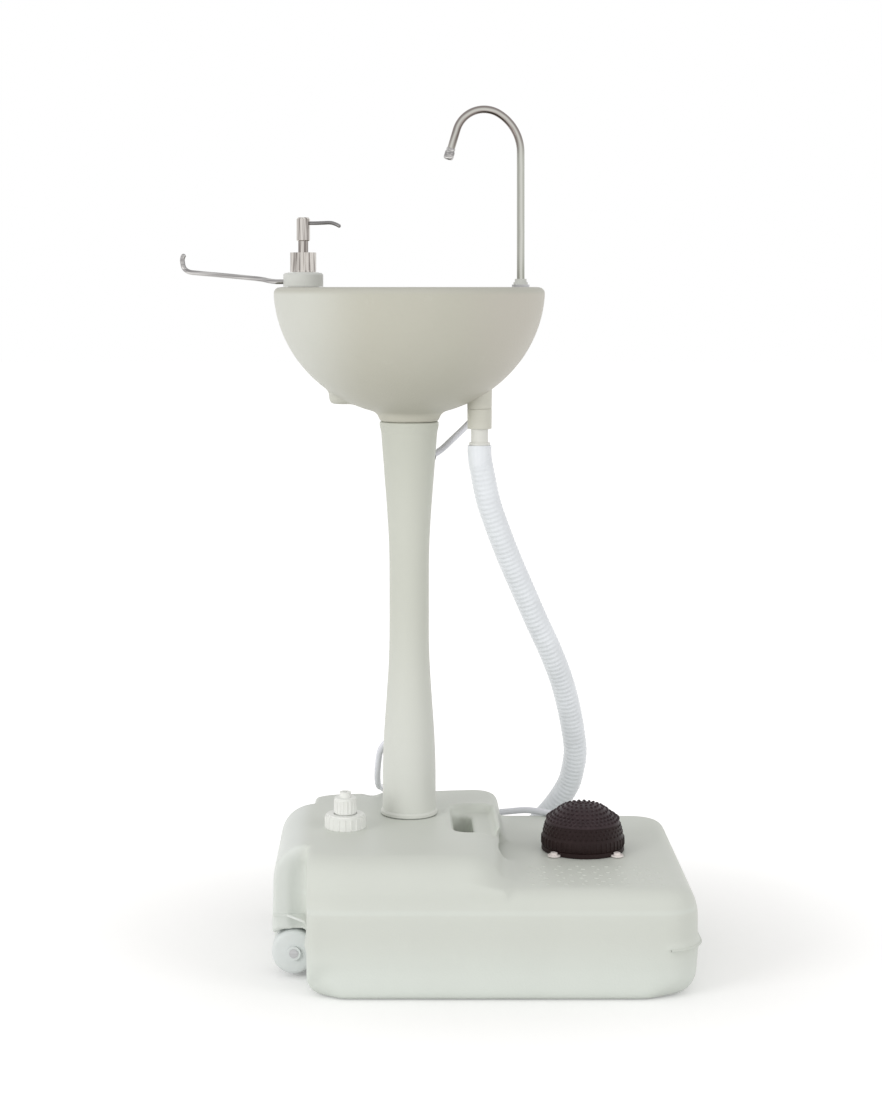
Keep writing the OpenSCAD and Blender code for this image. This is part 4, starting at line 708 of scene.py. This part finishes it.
# Painted reflection: the plated pieces are darker or paler by what they reflect, the nozzle darkest, the soap
# pump palest
chrome_look = plated("bright_plating", (0.50, 0.49, 0.48), (0.27, 0.26, 0.26), (9, 420, 420), 0.07)
soap_chrome_look = plated("soap_pump_plating", (0.69, 0.655, 0.615), (0.23, 0.205, 0.19), (430, 430, 14),
                          0.08)
nozzle_look = plated("nozzle_plating", (0.34, 0.33, 0.33), (0.19, 0.185, 0.185), (12, 430, 430), 0.08)
steel_look = drawn_steel("drawn_steel", (0.55, 0.55, 0.56), (30, 900, 900))
pump_look = rubber("pump_rubber", (0.018, 0.009, 0.009), 0.35, 0.25)
# The tread is a lighter copy of the pump's rubber: painted highlight on its crown and studs, over its bloom
tread_highlit_look = rubber("tread_rubber", (0.036, 0.023, 0.026), 0.5, 0.25)
grey_rubber_look = rubber("grey_rubber", (0.055, 0.055, 0.058), 0.4, 0.2)
hose_look = milky("drain_hose_plastic", (0.82, 0.85, 0.89))
tube_look = milky("supply_tube_plastic", (0.82, 0.83, 0.89))
bottle_look = milky("soap_bottle_plastic", (0.80, 0.82, 0.80))

# Cords: the ribbed drain hose and the supply tube, with their centre lines in mm. The tube drops from the
# faucet, enters the column under the basin, leaves it above the tank and reaches the foot pump from behind.
HOSE_ROUTE = [
    (86, -8, 606.4), (86.3, -8, 592), (89, -6, 576), (97, 2, 538), (110, 12, 500), (125, 25, 462),
    (142, 38, 423), (159, 51, 384), (177.5, 65, 344), (193.5, 83, 303), (205, 100, 261), (213, 118, 219),
    (214.5, 127, 198), (212, 137, 176), (207, 147, 155), (190, 162, 124), (165, 178, 92), (132, 190, 60),
    (95, 200, 34), (55, 206, 19), (10, 209, 15.3), (-45, 210, 15.3), (-90, 210, 15.3), (-130, 208, 15.3)]
SUPPLY_ROUTE = [
    (136.8, 0, 755.6), (136.8, 0, 748), (136.4, 1, 739.5), (134.5, 6.5, 731.5), (130.5, 16, 724),
    (124.5, 28.5, 717), (116.5, 43, 710), (106.5, 54.3, 703.5), (98.5, 61.5, 697), (93.8, 67.6, 690),
    (90.3, 70.4, 681), (88, 71, 670), (86, 70, 655), (82, 64, 638), (76, 57, 630), (66, 50.5, 620.5),
    (54, 42, 610), (42, 33.5, 599.5), (31, 25.3, 592.6), (24.2, 19.8, 590.3), (16.5, 13.5, 587.7),
    (6, 5, 575), (1, 1, 549), (0, 0, 520), (0, 0, 440), (0, 0, 360), (0, 0, 300), (0, 0, 280), (0, 0, 266),
    (-1.1, 1.1, 257.1), (-4.3, 4.3, 249.3), (-9.2, 9.2, 243.5), (-13.9, 13.9, 240.8), (-20.5, 20.5, 238.5),
    (-25.5, 25.5, 236.75), (-30.3, 30.6, 233), (-34, 35, 227), (-36.5, 39.5, 219.5), (-38.3, 48, 205),
    (-39.3, 61, 189.5), (-39, 78, 175.5), (-37.5, 98, 165), (-35, 118, 159), (-27, 135, 150),
    (-10, 144, 139), (25, 145, 129), (60, 145, 121), (95, 144, 119), (125, 140, 122), (152, 132, 126),
    (176, 118, 126.3), (194, 97, 127), (205, 72, 130), (209, 52, 131.5), (209, 43, 131.5),
    (209, 34.3, 131.5)]
HOSE_RIBS, HOSE_R, HOSE_ROOT_R, HOSE_BORE_R, HOSE_CUFF = 150, 15, 14.5, 11.4, 4
RIB_SHAPE = (0.0, 0.45, 1.0, 1.0, 0.45, 0.0)    # swell from root to crest over one rib

hose_line = smooth_route(metres(HOSE_ROUTE), 12)
hose_centres = even_route(hose_line, HOSE_RIBS * 6)
hose_radii = []
for step in range(HOSE_RIBS * 6 + 1):
    rib = step // 6
    cuffed = rib < HOSE_CUFF or rib > HOSE_RIBS - 1 - HOSE_CUFF
    swell = 0.3 if cuffed else RIB_SHAPE[step % 6]
    hose_radii.append((HOSE_ROOT_R + (HOSE_R - HOSE_ROOT_R) * swell) * MM)
hose = route_tube("drain_hose_ribbed", hose_centres, hose_radii, 28, bore=HOSE_BORE_R * MM)
dress(hose, hose_look, "base", "clear_plastic", "drain_hose")
route_length(hose_line)
even_route(hose_line, 300)

supply_line = smooth_route(metres(SUPPLY_ROUTE), 10)
supply_centres = even_route(supply_line, 420)
supply = route_tube("supply_tube_smooth", supply_centres, [4 * MM] * len(supply_centres), 16, (1, 0, 0))
dress(supply, tube_look, "base", "clear_plastic", "supply_tube")
route_length(supply_line)

# Tank: a soft blow-moulded skin over the CAD solid. The lists are rings in mm, from the bottom up: the panel
# that stands proud of the sides, the fill that makes the front wheel's groove shallower, the dish under the
# handle and the soft rim at its sides and rear.

FRONT_Y, BACK_Y, CORNER_X, CORNER_R = -232, 133, 285, 40


def right_end(out, steps):
    """The tank's two right corners in plan, front and back, moved outward."""
    return (arc(CORNER_X, FRONT_Y + CORNER_R, CORNER_R + out, -90, 0, steps),
            arc(CORNER_X, BACK_Y - CORNER_R, CORNER_R + out, 0, 90, steps))


def dish_corners(grow):
    """Corners in plan of the handle's dish, moved outward: rear left, front left, front right, rear right."""
    return (arc(76, 16, 24 + grow, 90, 180, 8), arc(76, -62, 24 + grow, 180, 270, 8),
            arc(94, -78, 8 + grow, 270, 360, 4), arc(94, 32, 8 + grow, 0, 90, 4))


plate = [[(x, y, z) for bend in ([(-116, FRONT_Y - out)], *right_end(out, 12), [(-116, BACK_Y + out)])
          for x, y in bend] for z, out in ((26, -3), (42, 1.3), (95.5, 1.3), (99.5, -1))]
groove_fill = [[(-144, -148.8, z), (-117, -148.8 + rise, z), (-117, -120, z), (-144, -120, z)]
               for z, rise in ((61, 5), (124, 5), (144, 1))]
dish = [[(x, y, z) for bend in dish_corners(grow) for x, y in bend]
        for z, grow in ((145.5, 0), (148.0, 0.6), (154.0, 1.8), (157.5, 3.5))]
rim = [[(x, y, z) for bend in (dish_corners(grow)[0], [(52 - grow, -58), (102 + grow, -70)],
                               dish_corners(grow)[3]) for x, y in bend]
       for z, grow in ((149.0, 8.0), (155.6, 7.2), (156.8, 5.4))]
forms = [lofted("proud_plate", plate), lofted("groove_fill", groove_fill), lofted("grip_rim", rim)]
tank = moulded_skin("tank_body", "tank_skin", [(*FILLER, 152, 18), (*PUMP, 119, 41)], 0.003, 6, forms)


def carve(piece, tool):
    """Cuts one closed piece out of another and throws the tool away."""
    modify(piece, "BOOLEAN", operation="DIFFERENCE", solver="EXACT", object=tool)
    pick(tool)
    bpy.ops.object.delete()


def bored(piece, x, y, z0, z1, r):
    """Drills an upright hole, in mm."""
    bpy.ops.mesh.primitive_cylinder_add(vertices=64, radius=r * MM, depth=(z1 - z0) * MM,
                                        location=(x * MM, y * MM, (z0 + z1) / 2 * MM))
    carve(piece, place(added("bore")))


carve(tank, lofted("grip_dish", dish))
carve(tank, lofted("grip_slot", [[(98, -103, z), (128, -103, z), (128, -16, z), (98, -16, z)]
                                 for z in (122.8, 135.5)]))
melted(tank, 0.0028, 3)
bored(tank, *FILLER, 75, 175, 15.5)
dress(tank, tank_look, "base", "hdpe", "tank_body")

# Basin: the outside is turned, with a cup for the soap bottle, and the bowl and its bores are cut out of it

REACH, RIM_R, RIM_Z = 158, 166.5, 800
rim_turn, foot_turn = asin(7 / REACH), acos(47.4 / RIM_R)
outline = [(0, 635), (36.8, 635), (37.4, 635.6), (37.4, 639.4), (37.9, 641.9), (39.4, 644.9), (42.0, 647.0)]
for k in range(40, -1, -1):
    turn = rim_turn + (foot_turn - rim_turn) * k / 40
    outline.append((RIM_R * cos(turn), RIM_Z - REACH * sin(turn)))
outline += [(159.5 + 7 * cos(radians(a)), RIM_Z - 7 + 7 * sin(radians(a))) for a in range(10, 91, 10)]
outline.append((0, RIM_Z))
basin = turned("basin_outside", outline, sides=128)
cup = turned("basin_soap_cup", [(0, 656.5), (13, 656.5), (16.2, 657.6), (17.8, 660.6), (18, 664), (18, 715),
                                (0, 715)], (-80.7, 0, 0))
basin = melted(joined("basin_skin", [basin, cup]), 0.0025, 6)

# Rings of the bowl are ellipses (x, y, half width, half depth, z), from its rounded lip down to the drain
BOWL, BOWL_HALF, BOWL_DEPTH, BOWL_SIDES, LIP, DRAIN_R = (8, -4), (105, 128), 106, 96, 6, 28
BOWL_Z = RIM_Z - LIP
rings = [(*BOWL, BOWL_HALF[0] + LIP, BOWL_HALF[1] + LIP, 802)]
for k in (3, 2, 1):
    out = LIP * (1 - cos(radians(30 * k)))
    rings.append((*BOWL, BOWL_HALF[0] + out, BOWL_HALF[1] + out, BOWL_Z + LIP * sin(radians(30 * k))))
for k in range(25):
    share = cos(radians(90 * min(k / 24, 0.9999))) ** 0.75
    rings.append((DRAIN[0] + (BOWL[0] - DRAIN[0]) * share, DRAIN[1] + (BOWL[1] - DRAIN[1]) * share,
                  DRAIN_R + (BOWL_HALF[0] - DRAIN_R) * share, DRAIN_R + (BOWL_HALF[1] - DRAIN_R) * share,
                  BOWL_Z - BOWL_DEPTH * sin(radians(90 * k / 24))))
bowl = [[(x + a * cos(turn), y + b * sin(turn), z) for turn in full_turn(BOWL_SIDES)]
        for x, y, a, b, z in rings]
carve(basin, lofted("basin_bowl", bowl))
melted(basin, 0.0024, 5)
for x, y, z0, z1, r in ((*SOAP, 792, 806, 19), (*SOAP, 745, 794, 9.5), (*FAUCET, 780, 806, 8),
                        (*DRAIN, 640, 700, 12.2), (0, 0, 630, 657.3, 29.7)):
    bored(basin, x, y, z0, z1, r)
dress(basin, basin_look, "base", "hdpe", "basin")
boss = turned("basin_drain_boss", [
    (12.4, 651.3), (14.5, 651.3), (15.0, 651.9), (15.3, 680), (12.4, 680), (12.4, 651.3)], (*DRAIN, 0))
dress(boss, tail_look, "base", "hdpe")
sleeve = turned("drain_tailpiece_sleeve", [
    (11.2, 626.7), (14.2, 626.7), (14.8, 627.4), (15.0, 650.9), (14.6, 651.2), (11.2, 651.2), (11.2, 626.7)],
    (*DRAIN, 0))
dress(sleeve, tail_look, "base", "hdpe", "drain_tailpiece")

# Tank's small forms: flash along the parting line and in the wheel notches, and pips on the slab

def flash(name, line, z, reach):
    """Moulding flash along a line in plan: a thin lip with rounded edges that stands out by reach."""
    profile = ((-3, 1.2), (reach - 0.8, 1.0), (reach, 0.5), (reach, -0.5), (reach - 0.8, -1.0), (-3, -1.2))
    rings, last = [], len(line) - 1
    for i, (x, y) in enumerate(line):
        ahead, behind = line[min(i + 1, last)], line[max(i - 1, 0)]
        along = Vector((ahead[0] - behind[0], ahead[1] - behind[1], 0)).normalized()
        out = Vector((along.y, -along.x, 0))
        rings.append([Vector((x, y, z)) + out * a + Vector((0, 0, b)) for a, b in profile])
    return smooth(lofted(name, rings), 50)


SEAM_OUT = 1.5
front_bend, back_bend = right_end(SEAM_OUT, 14)
seam = [(291, FRONT_Y - SEAM_OUT), *front_bend[1:], *back_bend[:-1], (291, BACK_Y + SEAM_OUT)]
WEB = ((-158.5, -150.6), (-142.5, -151.5), (-121.6, -177), (-119, -200), (-116, -200), (-116, -136),
       (-158.5, -148))
edge = joined("tank_seam_flash", [
    flash("seam_right", seam, 58.2, 4.2),
    lofted("web_front", [[(x, y, z) for x, y in WEB] for z in (71.9, 74.6)]),
    lofted("web_rear", [[(x, TANK_MIRROR - y, z) for x, y in WEB] for z in (71.9, 74.6)])])
dress(edge, tank_look, "base", "hdpe")

pips = []
for row in range(7):
    for k in range(9 - row % 2):
        x = 140 + 18 * k + 9 * (row % 2) + 2.5 * sin(5 * k + 3 * row)
        y = -122 - 12.5 * row + 1.5 * sin(7 * k)
        pips.append(((x, y, 121.6), (0, 0, 1), 2.8 + 0.5 * sin(4 * k + row), 0.95))
dress(studs("slab_pips", pips, 10), tank_look, "base", "hdpe")

# Foot pump: a rubber dome with rings of studs, over a ribbed wall that folds

pump_skirt = turned("pump_skirt", [
    (43, 122.3), (49.2, 122.3), (49.8, 123), (49.6, 127.6), (48, 128.4), (43, 128.4), (43, 122.3)],
    (*PUMP, 0))
dress(pump_skirt, pump_look, "base", "black_rubber")

TREAD = ((44.4, 156.0), (44.2, 157.6), (42.6, 160.0), (39.2, 162.6), (35.6, 164.6), (32.6, 167.0),
         (28.5, 170.6), (22.0, 174.2), (14.5, 176.4), (7.5, 177.3), (0, 177.5))
tread = turned("pump_tread_dome", [(0, 172), (20, 170.5), (34, 161), (40, 156.2), *TREAD], (*PUMP, 0))


def on_outline(outline, wanted):
    """Height and slope direction of an outline at a radius."""
    for (r0, z0), (r1, z1) in zip(outline, outline[1:]):
        if min(r0, r1) <= wanted <= max(r0, r1) and r0 != r1:
            share = (wanted - r0) / (r1 - r0)
            return z0 + (z1 - z0) * share, Vector((z1 - z0, 0, r0 - r1)).normalized()
    return outline[-1][1], Vector((0, 0, 1))


def round_pump(radius, turn, height):
    return PUMP[0] + radius * cos(turn), PUMP[1] + radius * sin(turn), height


spots = [((*PUMP, 177.2), (0, 0, 1), 1.9, 1.6)]
for ring, radius in enumerate((6.2, 12.4, 18.4, 24.2, 29.6, 34.4, 38.8, 42.6)):
    height, tilt = on_outline(TREAD, radius)
    count = 6 * (ring + 1) if ring < 6 else 42
    for k in range(count):
        turn = 2 * pi * (k + 0.5 * (ring % 2)) / count
        spots.append((round_pump(radius, turn, height),
                      (tilt.x * cos(turn), tilt.x * sin(turn), tilt.z), 1.9, 1.9))
tread = joined("pump_tread_studded", [tread, studs("tread_studs", spots)])
dress(tread, tread_highlit_look, "treadle", "black_rubber", "pump_tread")

WALL = ((43.0, 127.3), (48.4, 127.7), (49.4, 129.5), (49.7, 134.0), (49.2, 139.0), (48.9, 140.6),
        (47.6, 142.2), (47.2, 146.0), (46.2, 150.0), (44.8, 154.0), (44.0, 155.7))
wall = turned("pump_wall", [
    *WALL, (41.6, 155.6), (43.6, 150), (45.0, 144), (46.4, 138), (46.4, 131), (43, 127.3)], (*PUMP, 0))
ribs = []
for turn in full_turn(48):
    out, side = Vector((cos(turn), sin(turn), 0)), Vector((-sin(turn), cos(turn), 0))
    rings = []
    for z, reach in ((128.6, 49.2), (130, 50.4), (138.6, 50.2), (140, 49.0)):
        section = ((48.0, -1.3), (reach - 0.3, -1.1), (reach, -0.5), (reach, 0.5), (reach - 0.3, 1.1),
                   (48.0, 1.3))
        rings.append([Vector((*PUMP, z)) + out * r + side * w for r, w in section])
    ribs.append(lofted("rib", rings))
spots = []
for level, (radius, height, tall) in enumerate(((47.4, 144.5, 1.9), (46.4, 149, 1.8), (45.2, 153.2, 1.6))):
    for k in range(44):
        turn = 2 * pi * (k + 0.5 * (level % 2)) / 44
        spots.append((round_pump(radius, turn, height), (cos(turn), sin(turn), 0.1 * level), tall, 0.9))
wall = joined("pump_wall_ribbed", [wall, *ribs, studs("wall_studs", spots)])
smooth(wall, 50)
dress(wall, pump_look, "base", "black_rubber", "pump_bellows")

# Springs, as fine wire helices

def helix(name, at, r, z0, z1, turns, wire):
    """A coil of wire round an upright axis: radii of the coil and of the wire, from z0 to z1, in mm."""
    steps = turns * 28
    line = [Vector((at[0] + r * cos(2 * pi * k / 28), at[1] + r * sin(2 * pi * k / 28),
                    z0 + wire + (z1 - z0 - 2 * wire) * k / steps)) * MM for k in range(steps + 1)]
    return route_tube(name, line, [wire * MM] * len(line), 10, (0, 0, 1))


pump_coil = helix("pump_spring_wire", PUMP, 11, 88.8, 171.2, 7, 1.2)
dress(pump_coil, steel_look, "base", "steel", "pump_spring")
soap_coil = helix("soap_spring_wire", SOAP, 5.6, 754.1, 801.7, 8, 0.6)
dress(soap_coil, steel_look, "base", "steel", "soap_spring")

# Bent rods and tubes, drawn again with smooth curves

def bent(name, route, radius, count, sides, rounded=True):
    """A rod along a route, whose far end can be rounded."""
    line = even_route(smooth_route(metres(route), 10), count)
    radii = [radius * MM] * len(line)
    if rounded:
        tip, along = line[-1], (line[-1] - line[-2]).normalized()
        caps = [(tip - along * radius * MM * (1 - sin(radians(a))), radius * MM * max(cos(radians(a)), 0.08))
                for a in (0, 25, 50, 70, 90)]
        line, radii = line[:-1] + [c for c, _ in caps], radii[:-1] + [r for _, r in caps]
    return route_tube(name, line, radii, sides)


arm = bent("towel_arm_rod", [
    (-151.5, 0, 806.5), (-157.5, 0, 806.5), (-163.5, 0, 806.5), (-171.5, 0, 807.5), (-181.5, 0, 809.5),
    (-199.5, 0, 811.5), (-231.5, 0, 814.5), (-259, 0, 817), (-270, 0, 818.5), (-276, 0, 823), (-278, 0, 830),
    (-278, 0, 835.5), (-275.5, 0, 840.5)], 3, 90, 24)
dress(arm, chrome_look, "towel", "chrome", "towel_arm")
nozzle = bent("soap_nozzle_tube", [
    (-125, 0, 878.3), (-115.65, 0, 878.3), (-106.5, 0, 878.6), (-96.35, 0, 878.8), (-89.6, 0, 876.8),
    (-84, 0, 873.8)], 2.3, 30, 20)
dress(nozzle, nozzle_look, "soap_spout", "chrome", "soap_nozzle")
dip = bent("soap_dip_tube_bent", [
    (-130, 0, 751.7), (-130, 0, 747), (-128, 0, 741), (-121, 0, 729), (-112, 0, 714), (-103, 0, 699),
    (-95, 0, 687), (-88.5, 0, 677)], 2.5, 40, 16, rounded=False)
dress(dip, bottle_look, "base", "clear_plastic", "soap_dip_tube")

# Gooseneck: a long arc at the stem, a tighter crown and a straight end that leans outward

def on_arc(bend, turn):
    """The point of an arc of the gooseneck at an angle from +X."""
    x, z, r = bend
    return x + r * cos(turn), 0, z + r * sin(turn)


FOOT_Z, STRAIGHT = 780, 35
line = [(*FAUCET, FOOT_Z + (LONG_ARC[1] - FOOT_Z) * k / 20) for k in range(20)]
line += [on_arc(LONG_ARC, MEETING * k / 24) for k in range(24)]
line += [on_arc(CROWN_ARC, MEETING + (pi - LEAN - MEETING) * k / 40) for k in range(41)]
spout_root = line[-1]
line += [(spout_root[0] - STRAIGHT * sin(LEAN) * k / 6, 0, spout_root[2] - STRAIGHT * cos(LEAN) * k / 6)
         for k in range(1, 7)]
gooseneck = route_tube("faucet_gooseneck", metres(line), [4.75 * MM] * len(line), 32, bore=3.85 * MM)
dress(gooseneck, gooseneck_look, "faucet", "chrome", "faucet_tube")

# Spout tip, in the frame of the gooseneck's straight end: ferrule, groove and outlet

tip = turned("spout_tip_ferrule", [
    (4.0, 23.6), (5.2, 23.6), (5.5, 24.2), (5.5, 25.8), (5.2, 26.4), (5.2, 27.2), (5.9, 27.8), (6.1, 29.4),
    (6.1, 34.8), (5.8, 36.6), (5.0, 37.8), (4.3, 38.0), (3.9, 37.6), (3.9, 30.0), (4.0, 23.6)],
    spout_root, (0, pi + LEAN, 0))
dress(tip, chrome_look, "faucet", "chrome", "spout_tip")

# Wheels: a plain pressed cover over each hub

WHEEL = (-135, -152, 30.4)
COVER = [(5.05, -33.6), (11, -33.6), (11, -26), (22, -25.6), (24.6, -25.2), (25.4, -24), (25.4, -4.2),
         (24.7, -2.0), (23.0, -0.6), (20.4, 0), (12, 0.5), (5.2, 0.8), (5.05, -4)]
front = turned("wheel_front_covered", [*COVER, COVER[0]], WHEEL, (pi / 2, 0, 0))
rear = copied(front, "wheel_rear_covered")
rear.location = (0, TANK_MIRROR * MM, 0)
rear.scale = (1, -1, 1)
place(rear)
edit(rear, (bpy.ops.mesh.normals_make_consistent, {"inside": False}))
dress(front, wheel_look, "front_roller", "white_plastic", "wheel_front")
dress(rear, wheel_look, "rear_roller", "white_plastic", "wheel_rear")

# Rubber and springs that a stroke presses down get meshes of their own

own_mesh(wall)
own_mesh(pump_coil)
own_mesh(soap_coil)

# CAD nodes that keep their shape and take a finish

LOOKS = (
    (column_look, "column"),
    (white_look, "filler_plug filler_ring vent_knob soap_neck soap_pump_body pump_intake_strainer"),
    (coupling_look, "drain_coupling"),
    (collar_look, "towel_collar faucet_gland"),
    (wheel_look, "axle_caps"),
    (clip_look, "pump_base pump_screws"),
    (bottle_look, "soap_bottle pump_intake_tube"),
    (chrome_look, "drain_strainer"),
    (soap_chrome_look, "soap_collar soap_stem soap_head"),
    (steel_look, "wheel_axle faucet_shank faucet_nut"),
    (pump_look, "pump_outlet"),
    (grey_rubber_look, "filler_gasket upper_grommet lower_grommet faucet_oring pump_gasket pump_inlet_valve "
                       "pump_outlet_valve"))
for look, names in LOOKS:
    for name in names.split():
        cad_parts[name].data.materials.clear()
        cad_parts[name].data.materials.append(look)
